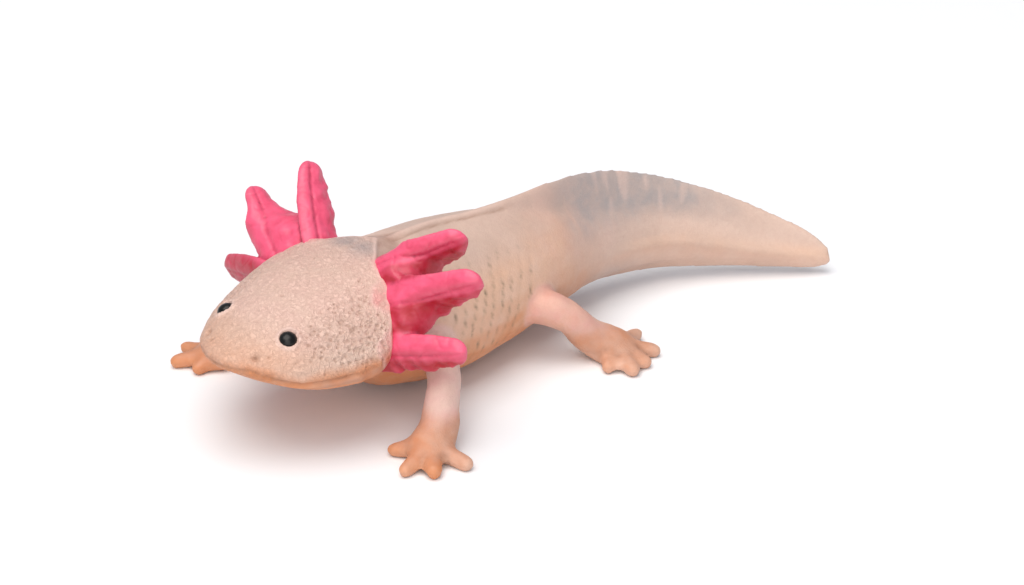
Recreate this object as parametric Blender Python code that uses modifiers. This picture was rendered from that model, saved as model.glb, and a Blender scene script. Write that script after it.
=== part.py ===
"""A small hand-painted axolotl figure, moulded in solid PVC and standing on four feet.

The animal faces -Y, its left side is +X and +Z is up.  Sizes are written in millimetres
and turned to metres with MM.  The body is one loft along a spine: each section is a
half width given as a function of height, so head, jaw, trunk, tail and fins are bands of
the same form, parted by thin gaps.  Legs and gills are built on it and trimmed to it.
"""

import math
from collections import namedtuple

import bmesh
import bpy
from mathutils import Matrix, Vector

MM = 0.001
GAP = 0.3                 # clearance between neighbouring pieces
RING_HEIGHTS = 12         # heights sampled up one side of a body section
FIN_HEIGHTS = 4           # the same for a fin
BODY_STEP = 2.1           # spacing of the sections along the body
SNOUT_STEPS = 9           # closer sections that round off the snout
VOXEL = 0.55              # cell size that blends toes, palm and leg into one form

# ---------------------------------------------------------------- driving sizes

HEAD_LENGTH = 18.0        # snout tip to the widest point of the cheeks
HEAD_HALF_WIDTH = 15.4
EYE_ALONG = 7.6           # snout tip to the eyes, along the spine
EYE_SIDE = 6.7           # midline to the eye's centre
EYE_RADIUS = 1.4
EYE_SUNK = 0.6           # how far the eye's centre lies under the skin
MOUTH_CORNER = 16.9       # snout tip to the corner of the mouth
HEAD_END = 22.4           # stations where the body is parted
NECK_END = 32.4
TRUNK_END = 66.2
DORSAL_FIN_START = 32.7
VENTRAL_FIN_START = 70.2
TAIL_TIP = 116.8
FIN_EDGE = 0.45           # half thickness near a fin's edge

# The spine in plan, from the snout tip: (x, y) with y growing towards the tail.
SPINE_PLAN = (
    (0.0, -7.6), (0.0, 0.0), (0.0, 12.0), (0.0, 24.0), (0.6, 35.0), (1.8, 45.0),
    (2.6, 55.0), (2.9, 63.0), (3.7, 70.7), (5.9, 78.6), (9.6, 84.7), (14.2, 90.3),
    (19.3, 95.6), (25.2, 101.6),
)

# Sections of the body behind the snout.  along: distance from the snout tip; half:
# greatest half width; belly, side, back: heights of the underside, of the widest line and
# of the top of the flesh; lean: how far the section tips back for each mm of height.
Section = namedtuple("Section", "along half belly side back lean")
SECTIONS = (
    Section(0.0, 0.0, 15.4, 16.2, 17.0, 0.00),
    Section(7.6, 12.4, 11.0, 14.0, 21.1, 0.05),
    Section(12.9, 14.8, 9.8, 13.2, 23.6, 0.20),
    Section(18.0, 15.4, 10.1, 13.4, 25.2, 0.40),
    Section(20.2, 14.8, 9.9, 13.6, 25.6, 0.50),
    Section(22.4, 11.8, 8.3, 13.0, 25.5, 0.50),
    Section(26.4, 11.0, 5.0, 11.6, 24.9, 0.40),
    Section(31.4, 12.2, 2.0, 10.9, 23.9, 0.24),
    Section(41.4, 12.9, 0.3, 10.3, 23.3, 0.05),
    Section(52.4, 10.9, 1.2, 10.8, 22.4, 0.00),
    Section(61.4, 8.6, 2.6, 10.4, 20.5, 0.00),
    Section(73.2, 5.2, 3.6, 9.4, 16.6, 0.00),
    Section(84.2, 3.6, 3.4, 7.8, 13.2, 0.00),
    Section(96.2, 2.6, 2.8, 6.2, 10.0, 0.00),
    Section(106.2, 1.9, 2.2, 4.7, 7.4, 0.00),
    Section(113.2, 1.4, 1.6, 3.4, 5.0, 0.00),
    Section(116.8, 0.8, 1.8, 2.6, 3.4, 0.00),
)

# Fin outlines: (along, height of the edge).
DORSAL_EDGE = (
    (31.2, 24.0), (36.4, 24.3), (42.4, 24.3), (48.4, 23.7), (56.4, 23.3), (63.4, 23.4),
    (70.4, 22.9), (78.2, 21.7), (87.8, 18.8), (94.4, 16.3), (99.6, 14.4), (104.4, 12.0),
    (110.6, 9.0), (114.2, 6.7), (116.0, 5.0), (116.8, 4.0),
)
VENTRAL_EDGE = (
    (70.2, 3.0), (78.2, 2.7), (86.2, 2.2), (96.2, 1.7), (106.2, 1.2), (112.2, 1.0),
    (116.8, 1.4),
)
# The shut mouth in side view: (along, height of the line between the lips).
MOUTH_LINE = (
    (0.0, 15.9), (1.5, 16.0), (3.0, 15.3), (5.0, 14.3), (6.8, 13.6), (9.0, 13.7),
    (12.9, 13.9), (17.5, 14.5),
)
DORSAL_ROOT_HALF = ((31.2, 0.7), (58.2, 1.1), (74.2, 1.6), (93.2, 1.2), (116.8, 0.8))
VENTRAL_ROOT_HALF = ((70.2, 1.0), (86.2, 1.1), (104.2, 0.9), (116.8, 0.7))


def smooth_value(table, at):
    """Cubic interpolation through (position, value) pairs, with no overshoot."""
    if at <= table[0][0]:
        return table[0][1]
    if at >= table[-1][0]:
        return table[-1][1]
    index = max(i for i, entry in enumerate(table[:-1]) if entry[0] <= at)

    def slope(i):
        """Slope at entry i: the harmonic mean of its neighbours' slopes."""
        if i == 0 or i == len(table) - 1:
            j = min(i, len(table) - 2)
            return (table[j + 1][1] - table[j][1]) / (table[j + 1][0] - table[j][0])
        before = (table[i][1] - table[i - 1][1]) / (table[i][0] - table[i - 1][0])
        after = (table[i + 1][1] - table[i][1]) / (table[i + 1][0] - table[i][0])
        return 0.0 if before * after <= 0 else 2 * before * after / (before + after)

    (x0, y0), (x1, y1) = table[index], table[index + 1]
    span = x1 - x0
    t = (at - x0) / span
    return (
        (1 + 2 * t) * (1 - t) ** 2 * y0
        + t * (1 - t) ** 2 * span * slope(index)
        + t * t * (3 - 2 * t) * y1
        + t * t * (t - 1) * span * slope(index + 1)
    )


def column(name):
    """(along, value) pairs of one column of SECTIONS."""
    return [(s.along, getattr(s, name)) for s in SECTIONS]


# ---------------------------------------------------------------- spine


def spine_samples(per_span=24):
    """Points of a smooth plan curve through SPINE_PLAN, with their distance along it."""
    points = [Vector(p) for p in SPINE_PLAN]
    points = [2 * points[0] - points[1]] + points + [2 * points[-1] - points[-2]]
    samples = []
    for before, start, end, after in zip(points, points[1:], points[2:], points[3:]):
        for step in range(per_span):
            t = step / per_span
            samples.append(
                0.5 * (2 * start + (end - before) * t
                       + (2 * before - 5 * start + 4 * end - after) * t ** 2
                       + (3 * start - before - 3 * end + after) * t ** 3)
            )
    samples.append(points[-2])
    along = [0.0]
    for a, b in zip(samples, samples[1:]):
        along.append(along[-1] + (b - a).length)
    return along, samples


SPINE_ALONG, SPINE_POINTS = spine_samples()


def spine_at(along):
    """(point, heading) in plan at a distance from the snout tip, headed to the tail."""
    scaled = along * SPINE_ALONG[-1] / TAIL_TIP
    index = max(i for i, d in enumerate(SPINE_ALONG[:-1]) if d <= max(scaled, 0.0))
    start, end = SPINE_POINTS[index], SPINE_POINTS[index + 1]
    share = (scaled - SPINE_ALONG[index]) / (SPINE_ALONG[index + 1] - SPINE_ALONG[index])
    ahead = SPINE_POINTS[min(index + 3, len(SPINE_POINTS) - 1)]
    behind = SPINE_POINTS[max(index - 2, 0)]
    return start.lerp(end, share), (ahead - behind).normalized()


def place(along, side, height):
    """World point, in mm, of a place on a body section: side is towards the left."""
    lean = smooth_value(column("lean"), along)
    pivot = smooth_value(column("side"), along)
    point, heading = spine_at(along)
    point = point + heading * lean * (height - pivot)
    left = Vector((heading.y, -heading.x))
    point = point + left * side
    return Vector((point.x, point.y, height))


# ---------------------------------------------------------------- body sections


def snout_round(along):
    """Share of the full section near the snout, which is blunt and round."""
    if along >= HEAD_LENGTH:
        return 1.0
    return (1 - (1 - along / HEAD_LENGTH) ** 1.4) ** 0.5


def flesh(along):
    """(half, belly, side, back) of the flesh at a distance from the snout tip."""
    half, belly, side, back = (
        smooth_value(column(name), along) for name in ("half", "belly", "side", "back")
    )
    if along < HEAD_LENGTH:
        share = snout_round(along)
        half = HEAD_HALF_WIDTH * share
    return half, belly, side, back


def half_width(along, height, grow=0.0):
    """Half width of the flesh at a height: an oval, fuller above than below."""
    half, belly, side, back = flesh(along)
    reach = (back + grow - side) if height > side else (side - belly + grow)
    share = min(abs(height - side) / max(reach, 1e-6), 1.0)
    return (half + grow) * (1 - share ** 2.1) ** 0.5


def cosine_steps(low, high, count):
    """Heights from low to high, closer together near both ends."""
    return [
        low + (high - low) * (1 - math.cos(math.pi * k / (count - 1))) / 2
        for k in range(count)
    ]


def loft(name, rings, collection):
    """A closed mesh object through rings of points in mm, with flat ends."""
    bm = bmesh.new()
    loops = [[bm.verts.new(point * MM) for point in ring] for ring in rings]
    count = len(loops[0])
    for first, second in zip(loops, loops[1:]):
        for k in range(count):
            n = (k + 1) % count
            bm.faces.new((first[k], first[n], second[n], second[k]))
    bm.faces.new(reversed(loops[0]))
    bm.faces.new(loops[-1])
    bmesh.ops.remove_doubles(bm, verts=bm.verts, dist=0.01 * MM)
    bmesh.ops.dissolve_degenerate(bm, dist=0.001 * MM, edges=bm.edges)
    bmesh.ops.recalc_face_normals(bm, faces=bm.faces)
    return mesh_object(name, bm, collection)


def mesh_object(name, bm, collection):
    """Turns a bmesh into an object with smooth shading, in a collection."""
    mesh = bpy.data.meshes.new(name)
    bm.to_mesh(mesh)
    bm.free()
    mesh.shade_smooth()
    obj = bpy.data.objects.new(name, mesh)
    collection.objects.link(obj)
    return obj


def stations(start, end, step=BODY_STEP):
    """Evenly spaced distances from start to end, both included."""
    count = max(2, round((end - start) / step) + 1)
    return [start + (end - start) * k / (count - 1) for k in range(count)]


def snout_stations(end):
    """Distances that crowd towards the snout tip, then run evenly to end."""
    rounded = [HEAD_LENGTH / 2 * (k / SNOUT_STEPS) ** 2.2 for k in range(SNOUT_STEPS)]
    rounded[0] = 0.03
    return rounded + stations(HEAD_LENGTH / 2, end)


def flesh_ring(along, grow=0.0, top=None, bottom=None):
    """One closed section of the flesh, up the left side and down the right."""
    _, belly, _, back = flesh(along)
    low = belly - grow if bottom is None else bottom
    high = back + grow if top is None else top
    heights = cosine_steps(low, high, RING_HEIGHTS)
    left = [place(along, half_width(along, z, grow), z) for z in heights]
    right = [place(along, -half_width(along, z, grow), z) for z in heights]
    return left + right[::-1]


def root_height(along, root_half, upwards):
    """Height at which the flesh is as thin as the fin that grows from it."""
    half, belly, side, back = flesh(along)
    share = min(root_half / half, 0.98)
    reach = (1 - share ** 2) ** (1 / 2.1)
    return side + (back - side) * reach if upwards else side - (side - belly) * reach


def fin_ring(along, root, edge, root_half):
    """A fin's section, from its root on the flesh to its rounded edge."""
    shares = [k / (FIN_HEIGHTS - 1) for k in range(FIN_HEIGHTS)]
    left, right = [], []
    for share in shares:
        half = root_half + (FIN_EDGE - root_half) * share ** 0.7
        if share == 1.0:
            half *= 0.5
        height = root + (edge - root) * share
        left.append(place(along, half, height))
        right.append(place(along, -half, height))
    return left + right[::-1]


# ---------------------------------------------------------------- body pieces


def head_stations():
    """Sections of the head."""
    return snout_stations(HEAD_END - GAP / 2)


def neck_stations():
    """Sections of the neck."""
    return stations(HEAD_END + GAP / 2, NECK_END - GAP / 2)


def trunk_stations():
    """Sections of the trunk."""
    return stations(NECK_END + GAP / 2, TRUNK_END - GAP / 2)


def tail_stations():
    """Sections of the tail."""
    return stations(TRUNK_END + GAP / 2, TAIL_TIP)


def grown_body(collection):
    """The whole flesh, larger by the gap all round: it trims what grows from it."""
    along = head_stations() + neck_stations() + trunk_stations() + tail_stations()
    return loft("cutter_body", [flesh_ring(d, grow=GAP) for d in along], collection)


def make_neck(collection):
    """The short neck that carries the gills, from the head to the shoulders."""
    rings = [flesh_ring(d) for d in neck_stations()]
    return loft("neck", rings, collection)


def make_trunk(collection):
    """The trunk, whose back is cut flat where the dorsal fin stands on it."""
    rings = []
    for along in trunk_stations():
        top = None
        if along > DORSAL_FIN_START:
            root_half = smooth_value(DORSAL_ROOT_HALF, along)
            top = root_height(along, root_half, True)
        rings.append(flesh_ring(along, top=top))
    return loft("trunk", rings, collection)


def make_tail(collection):
    """The fleshy core of the tail, between the dorsal and the ventral fin."""
    rings = []
    for along in tail_stations():
        top = root_height(along, smooth_value(DORSAL_ROOT_HALF, along), True)
        bottom = None
        if along > VENTRAL_FIN_START:
            bottom = root_height(along, smooth_value(VENTRAL_ROOT_HALF, along), False)
        rings.append(flesh_ring(along, top=top, bottom=bottom))
    return loft("tail", rings, collection)


def make_dorsal_fin(collection):
    """The fin that runs from the shoulders to the tail's tip."""
    rings = []
    for along in stations(DORSAL_FIN_START + GAP, TAIL_TIP - 0.3):
        root_half = smooth_value(DORSAL_ROOT_HALF, along)
        root = root_height(along, root_half, True) + GAP
        edge = max(smooth_value(DORSAL_EDGE, along), root + 0.3)
        rings.append(fin_ring(along, root, edge, root_half))
    return loft("dorsal_fin", rings, collection)


def make_ventral_fin(collection):
    """The low fin under the tail."""
    rings = []
    for along in stations(VENTRAL_FIN_START + GAP, TAIL_TIP - 0.6):
        root_half = smooth_value(VENTRAL_ROOT_HALF, along)
        root = root_height(along, root_half, False) - GAP
        edge = min(smooth_value(VENTRAL_EDGE, along), root - 0.3)
        rings.append(fin_ring(along, root, edge, root_half))
    return loft("ventral_fin", rings, collection)


def jaw_block(name, margin, collection):
    """The space of the lower jaw: its top is the mouth line, lower by the gap."""
    bm = bmesh.new()
    reach = HEAD_HALF_WIDTH + 5
    line = []
    for along in stations(-3.0, MOUTH_CORNER + margin, 1.5):
        height = smooth_value(MOUTH_LINE, along)
        line.append((along + SPINE_PLAN[0][1], height + margin - GAP))
    corner = line[-1]
    outline = line + [(corner[0] - 4.0, 0.0), (line[0][0], 0.0)]
    face = bm.faces.new([bm.verts.new(Vector((-reach, y, z)) * MM) for y, z in outline])
    swept = bmesh.ops.extrude_face_region(bm, geom=[face])
    moved = [v for v in swept["geom"] if isinstance(v, bmesh.types.BMVert)]
    bmesh.ops.translate(bm, verts=moved, vec=Vector((2 * reach * MM, 0, 0)))
    bmesh.ops.recalc_face_normals(bm, faces=bm.faces)
    return mesh_object(name, bm, collection)


def make_head(name, collection):
    """The whole head, from the snout to the neck, before it is parted."""
    rings = [flesh_ring(d) for d in head_stations()]
    return loft(name, rings, collection)


def eye_place(side):
    """Centre of an eye, in mm, just under the skin: side is 1 for left, -1 for right."""
    _, _, level, back = flesh(EYE_ALONG)
    share = (1 - (EYE_SIDE / flesh(EYE_ALONG)[0]) ** 2) ** (1 / 2.1)
    height = level + (back - level) * share
    return place(EYE_ALONG, side * EYE_SIDE, height) - Vector((0, 0, EYE_SUNK))


def ball(name, centre, radius, collection, segments=14, rings=8):
    """A sphere object with its origin at its centre."""
    bm = bmesh.new()
    bmesh.ops.create_uvsphere(bm, u_segments=segments, v_segments=rings,
                              radius=radius * MM)
    obj = mesh_object(name, bm, collection)
    obj.location = centre * MM
    return obj


def boolean(obj, other, operation):
    """Adds an exact Boolean modifier."""
    modifier = obj.modifiers.new(operation.title(), "BOOLEAN")
    modifier.operation = operation
    modifier.solver = "EXACT"
    modifier.object = other


# ---------------------------------------------------------------- legs

# Each leg: joints from root to ankle as (x, y, z, radius), the palm as (x, y, z, radius),
# and the tips of its toes as (x, y); the first toe is the one nearest the head.
Leg = namedtuple("Leg", "name joints palm toes")
TOE_ROOT_RADIUS, TOE_TIP_RADIUS = 1.5, 1.25
TOE_HEIGHT = 1.0          # height of a toe's centre, so its sole is cut to a small flat

LEGS = (
    Leg("fore_leg_left",
        ((7.5, 27.0, 11.0, 3.6), (14.6, 23.6, 10.4, 2.8), (19.1, 19.6, 9.0, 2.6),
         (20.2, 17.8, 6.0, 2.75), (20.7, 16.8, 3.2, 3.1)),
        (21.4, 14.3, 1.6, 3.3),
        ((17.4, 10.8), (22.8, 7.7), (26.2, 10.2), (27.9, 15.2))),
    Leg("fore_leg_right",
        ((-7.5, 28.0, 9.6, 3.6), (-14.6, 24.0, 8.6, 2.9), (-19.4, 19.6, 7.4, 2.7),
         (-21.4, 16.8, 5.0, 2.7), (-22.4, 14.6, 3.0, 2.8)),
        (-22.6, 11.8, 1.6, 3.1),
        ((-22.2, 7.6), (-26.3, 6.7), (-28.5, 10.7), (-28.0, 16.2))),
    Leg("hind_leg_left",
        ((6.5, 45.0, 9.0, 3.5), (12.6, 47.4, 9.6, 3.0), (15.6, 50.2, 7.6, 2.6),
         (17.0, 52.8, 3.6, 2.7)),
        (19.4, 55.9, 1.5, 3.5),
        ((22.6, 51.4), (26.0, 53.3), (25.6, 56.6), (24.1, 60.3), (18.6, 62.2))),
    Leg("hind_leg_right",
        ((-3.0, 47.0, 9.0, 3.5), (-9.0, 49.6, 9.2, 3.0), (-12.4, 52.4, 7.4, 2.5),
         (-13.8, 55.0, 3.6, 2.6)),
        (-16.4, 56.8, 1.5, 3.5),
        ((-18.6, 51.4), (-22.0, 52.6), (-23.4, 56.2), (-22.4, 60.6), (-17.4, 62.8))),
)


def tube(points, collection):
    """A mesh in mm-sized metres along points (x, y, z, radius), from a bevelled curve."""
    curve = bpy.data.curves.new("tube", "CURVE")
    curve.dimensions = "3D"
    curve.bevel_depth = MM
    curve.bevel_resolution = 3
    curve.resolution_u = 6
    curve.use_fill_caps = True
    spline = curve.splines.new("NURBS")
    spline.points.add(len(points) - 1)
    for point, (x, y, z, radius) in zip(spline.points, points):
        point.co = (x * MM, y * MM, z * MM, 1.0)
        point.radius = radius
    spline.order_u = 3
    spline.use_endpoint_u = True
    obj = bpy.data.objects.new("tube", curve)
    collection.objects.link(obj)
    graph = bpy.context.evaluated_depsgraph_get()
    mesh = bpy.data.meshes.new_from_object(obj.evaluated_get(graph))
    bpy.data.objects.remove(obj)
    bpy.data.curves.remove(curve)
    return mesh


def add_ball(bm, centre, radius, squash=1.0):
    """Adds an ellipsoid, flattened in height by squash, to a bmesh."""
    made = bmesh.ops.create_uvsphere(bm, u_segments=14, v_segments=9, radius=radius * MM)
    bmesh.ops.scale(bm, verts=made["verts"], vec=(1, 1, squash))
    bmesh.ops.translate(bm, verts=made["verts"], vec=Vector(centre) * MM)


def make_leg(leg, triangles, collection, cutters):
    """One leg with its palm and toes, blended into a single soft form."""
    bm = bmesh.new()
    px, py, pz, palm_radius = leg.palm
    paths = [leg.joints + (leg.palm,)]
    for x, y in leg.toes:
        middle = ((px + x) / 2, (py + y) / 2, TOE_HEIGHT + 0.35, TOE_ROOT_RADIUS)
        paths.append(((px, py, pz, TOE_ROOT_RADIUS), middle, (x, y, TOE_HEIGHT, TOE_TIP_RADIUS)))
        add_ball(bm, (x, y, TOE_HEIGHT), TOE_TIP_RADIUS)
    add_ball(bm, (px, py, pz), palm_radius * 1.15, 0.7)
    add_ball(bm, leg.joints[0][:3], leg.joints[0][3])
    for path in paths:
        mesh = tube(path, collection)
        bm.from_mesh(mesh)
        bpy.data.meshes.remove(mesh)
    bmesh.ops.remove_doubles(bm, verts=bm.verts, dist=0.001 * MM)
    obj = mesh_object(leg.name, bm, collection)
    blend = obj.modifiers.new("Blend", "REMESH")
    blend.mode = "VOXEL"
    blend.voxel_size = VOXEL * MM
    soften = obj.modifiers.new("Soften", "SMOOTH")
    soften.factor = 0.5
    soften.iterations = 4
    thin = obj.modifiers.new("Thin", "DECIMATE")
    thin.ratio = triangles / 4200
    boolean(obj, cutters["body"], "DIFFERENCE")
    boolean(obj, cutters["floor"], "DIFFERENCE")
    return obj


def floor_block(collection):
    """A slab under the soles: it cuts them to small flats at one level."""
    bm = bmesh.new()
    bmesh.ops.create_cube(bm, size=1.0)
    bmesh.ops.scale(bm, verts=bm.verts, vec=(0.2, 0.3, 0.02))
    bmesh.ops.translate(bm, verts=bm.verts, vec=(0, 0.05, -0.01))
    return mesh_object("cutter_floor", bm, collection)


# ---------------------------------------------------------------- gills

# Each gill is a feathered blade from its root on the back of the cheek to its tip.  A
# thick ridge runs along the front edge; the blade hangs from it, back and down.  web is
# the height at the root as a share of the width.
Gill = namedtuple("Gill", "name root tip hang width web")
GILL_HALF = 1.75          # half thickness of a ridge at mid length
GILL_RINGS = 11
GILL_ROOT_DEPTH = 1.6     # how far the ridge runs on into the head before it is trimmed

# (share of the length, share of the width) past the root.
GILL_TAPER = ((0.55, 1.0), (0.86, 0.72), (0.95, 0.56), (1.0, 0.30))
# (share of the length, share of the thickness)
GILL_THINNING = ((0.0, 1.2), (0.5, 1.0), (0.9, 0.8), (1.0, 0.42))
# (share of the width away from the ridge, share of the thickness) round a section.
GILL_PROFILE = (
    (-0.26, 0.0), (-0.16, 0.88), (-0.02, 0.92), (0.08, 0.70), (0.44, 0.72),
    (0.74, 0.0), (0.44, -0.62), (0.08, -0.66), (-0.02, -0.9), (-0.16, -0.86),
)

GILLS = (
    Gill("gill_left_upper", (6.3, 20.0, 22.6), (17.0, 26.2, 30.4), (0.28, 0.54, -0.79), 6.6, 1.05),
    Gill("gill_left_middle", (10.2, 16.2, 21.2), (24.3, 22.2, 27.4), (0.34, 0.40, -0.85), 6.4, 1.0),
    Gill("gill_left_lower", (13.7, 13.3, 16.0), (25.5, 17.6, 18.8), (0.21, 0.18, -0.96), 5.6, 0.72),
    Gill("gill_right_upper", (-5.6, 17.8, 21.6), (-16.4, 26.1, 31.6), (0.34, 0.86, -0.36), 6.4, 1.1),
    Gill("gill_right_middle", (-9.8, 15.6, 18.2), (-24.3, 21.5, 26.2), (0.31, 0.94, -0.16), 6.4, 1.1),
    Gill("gill_right_lower", (-11.4, 13.6, 18.2), (-25.4, 16.6, 14.4), (0.1, 0.5, -0.8), 5.8, 0.9),
)


def gill_mesh(gill, name, collection, grow=0.0):
    """The blade of one gill, larger by grow all round."""
    root, tip, hang = Vector(gill.root), Vector(gill.tip), Vector(gill.hang)
    axis = (tip - root).normalized()
    hang = (hang - axis * axis.dot(hang)).normalized()
    face = axis.cross(hang)
    length = (tip - root).length
    rings = []
    for step in cosine_steps(0.0, 1.0, GILL_RINGS):
        along = step * (length + GILL_ROOT_DEPTH + grow) - GILL_ROOT_DEPTH
        share = max(0.0, min(along / length, 1.0))
        width = smooth_value(((0.0, gill.web),) + GILL_TAPER, share) * gill.width
        thick = smooth_value(GILL_THINNING, share) * GILL_HALF
        middle = root + axis * along
        rings.append([
            middle + hang * (u * width + math.copysign(grow, u - 0.2))
            + face * (v * thick + (math.copysign(grow, v) if v else 0.0))
            for u, v in GILL_PROFILE
        ])
    return loft(name, rings, collection)


def make_gills(collection, cutter_collection, cutters):
    """All gills, each trimmed to the body and to the gill above it."""
    above = {}
    made = []
    for gill in GILLS:
        obj = gill_mesh(gill, gill.name, collection)
        boolean(obj, cutters["body"], "DIFFERENCE")
        side = gill.name.split("_")[1]
        if side in above:
            boolean(obj, above[side], "DIFFERENCE")
        above[side] = gill_mesh(gill, "cutter_" + gill.name, cutter_collection, GAP)
        made.append(obj)
    return made


# ---------------------------------------------------------------- finishes


def finish_material(name, colour, roughness):
    """A Principled material with a plain colour (linear RGB)."""
    made = bpy.data.materials.new(name)
    made.use_nodes = True
    shader = made.node_tree.nodes["Principled BSDF"]
    shader.inputs["Base Color"].default_value = (*colour, 1.0)
    shader.inputs["Roughness"].default_value = roughness
    shader.inputs["Metallic"].default_value = 0.0
    made.diffuse_color = (*colour, 1.0)
    return made


def paint(objects):
    """Gives each piece its finish by the start of its name."""
    skin = finish_material("cream_pink_pvc", (0.70, 0.49, 0.41), 0.55)
    fin = finish_material("grey_rose_fin", (0.56, 0.44, 0.39), 0.5)
    gill = finish_material("carmine_gill_paint", (0.80, 0.10, 0.17), 0.42)
    eye = finish_material("black_gloss_paint", (0.01, 0.01, 0.01), 0.12)
    leg = finish_material("orange_pink_leg", (0.74, 0.42, 0.31), 0.55)
    rules = (("gill", gill), ("eye", eye), ("fore_leg", leg), ("hind_leg", leg),
             ("dorsal_fin", fin), ("ventral_fin", fin))
    for obj in objects:
        found = [m for start, m in rules if obj.name.startswith(start)]
        obj.data.materials.append(found[0] if found else skin)


# ---------------------------------------------------------------- assembly


def new_collection(name):
    """A collection linked to the scene."""
    made = bpy.data.collections.new(name)
    bpy.context.scene.collection.children.link(made)
    return made


def hide_helpers(collection):
    """Cutters stay out of renders and show as wires."""
    for obj in collection.objects:
        obj.hide_render = True
        obj.display_type = "WIRE"


def world_corners(objects):
    """Lowest and highest corner of the evaluated pieces."""
    graph = bpy.context.evaluated_depsgraph_get()
    points = []
    for obj in objects:
        shown = obj.evaluated_get(graph)
        mesh = shown.to_mesh()
        points += [shown.matrix_world @ v.co for v in mesh.vertices]
        shown.to_mesh_clear()
    low = Vector([min(p[k] for p in points) for k in range(3)])
    high = Vector([max(p[k] for p in points) for k in range(3)])
    return low, high


def centre_on_origin(objects, helpers):
    """Parents all to one empty and moves it so the figure stands centred on the origin."""
    bpy.context.view_layer.update()
    low, high = world_corners(objects)
    stand = bpy.data.objects.new("axolotl_figure", None)
    bpy.context.scene.collection.objects.link(stand)
    for obj in objects + helpers:
        obj.parent = stand
    stand.location = (-(low.x + high.x) / 2, -(low.y + high.y) / 2, -low.z)
    bpy.context.view_layer.update()


def main():
    """Builds the figure."""
    for obj in list(bpy.data.objects):
        bpy.data.objects.remove(obj)
    figure = new_collection("axolotl")
    helpers = new_collection("cutters")
    cutters = {"body": grown_body(helpers), "floor": floor_block(helpers)}

    head = make_head("head", figure)
    boolean(head, jaw_block("cutter_mouth", GAP, helpers), "DIFFERENCE")
    jaw = make_head("lower_jaw", figure)
    boolean(jaw, jaw_block("cutter_jaw", 0.0, helpers), "INTERSECT")
    pieces = [head, jaw, make_neck(figure), make_trunk(figure), make_tail(figure),
              make_dorsal_fin(figure), make_ventral_fin(figure)]
    for label, side in (("left", 1), ("right", -1)):
        centre = eye_place(side)
        pieces.append(ball("eye_" + label, centre, EYE_RADIUS, figure))
        socket = ball("cutter_eye_" + label, centre, EYE_RADIUS + GAP, helpers)
        boolean(head, socket, "DIFFERENCE")
    for leg in LEGS:
        pieces.append(make_leg(leg, 560, figure, cutters))
    pieces += make_gills(figure, helpers, cutters)
    paint(pieces)
    hide_helpers(helpers)
    centre_on_origin(pieces, list(helpers.objects))


if __name__ == "__main__":
    main()
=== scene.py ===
"""A hand-painted axolotl figure of moulded PVC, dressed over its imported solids.

The animal faces -Y, its left side is +X and +Z is up.  Shapes are worked out in millimetres
from the snout tip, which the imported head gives, and turned to metres with MM.  One skin
stands for all the flesh, one fan for the three gills of each side, and a gloss dome for
each eye.
"""

from __future__ import annotations

import logging
import math
import random
from dataclasses import dataclass
from enum import Enum

import bmesh
import bpy
import numpy as np
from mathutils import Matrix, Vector, noise
from mathutils.bvhtree import BVHTree

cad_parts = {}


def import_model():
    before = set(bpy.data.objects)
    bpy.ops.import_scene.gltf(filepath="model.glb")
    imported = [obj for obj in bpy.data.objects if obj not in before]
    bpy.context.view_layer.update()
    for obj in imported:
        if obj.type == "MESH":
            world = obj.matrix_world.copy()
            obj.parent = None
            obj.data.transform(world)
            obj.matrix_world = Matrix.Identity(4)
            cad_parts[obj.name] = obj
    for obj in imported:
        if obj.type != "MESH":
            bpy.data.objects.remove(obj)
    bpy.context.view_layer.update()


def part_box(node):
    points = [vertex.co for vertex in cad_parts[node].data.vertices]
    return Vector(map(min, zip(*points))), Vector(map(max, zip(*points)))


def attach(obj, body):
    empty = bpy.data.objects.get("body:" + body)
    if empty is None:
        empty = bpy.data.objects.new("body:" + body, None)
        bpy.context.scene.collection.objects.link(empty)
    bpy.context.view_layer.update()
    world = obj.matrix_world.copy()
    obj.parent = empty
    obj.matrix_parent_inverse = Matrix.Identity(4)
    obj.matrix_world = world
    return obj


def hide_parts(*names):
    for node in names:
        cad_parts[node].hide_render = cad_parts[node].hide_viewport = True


LOG = logging.getLogger("axolotl")
MM = 0.001
SEED = 11
# The two moves of a smoothing round, as shares of the way to the neighbours' middle.
PULL_IN, LET_OUT = 0.55, -0.57

Array = np.ndarray
BMesh = bmesh.types.BMesh
Mesh = bpy.types.Mesh
NodeTree = bpy.types.NodeTree
Object = bpy.types.Object
Socket = bpy.types.NodeSocket
Point = tuple[float, float, float]
Curve = tuple[tuple[float, float], ...]

FLESH_NODES = (
    "head", "lower_jaw", "neck", "trunk", "tail", "dorsal_fin", "ventral_fin",
    "fore_leg_left", "fore_leg_right", "hind_leg_left", "hind_leg_right",
)
LEG_NODES = FLESH_NODES[-4:]
EYE_NODES = ("eye_left", "eye_right")


class Side(Enum):
    """A side of the animal, with the sign of its X."""

    LEFT = 1
    RIGHT = -1

    @property
    def label(self) -> str:
        """The side's name as the nodes spell it."""
        return self.name.lower()


# ---------------------------------------------------------------- small tools


def linear(code: str) -> tuple[float, float, float, float]:
    """Linear RGBA of an sRGB hex colour.

    Args:
        code: six hex digits after a hash sign.

    Returns:
        Red, green, blue and a full alpha.
    """
    values = [int(code[k:k + 2], 16) / 255 for k in (1, 3, 5)]
    red, green, blue = (
        v / 12.92 if v <= 0.04045 else ((v + 0.055) / 1.055) ** 2.4 for v in values
    )
    return red, green, blue, 1.0


def per_mm(size: float) -> float:
    """Texture scale, in metres of Object space, for a feature of a size in mm."""
    return 1 / (size * MM)


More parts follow.
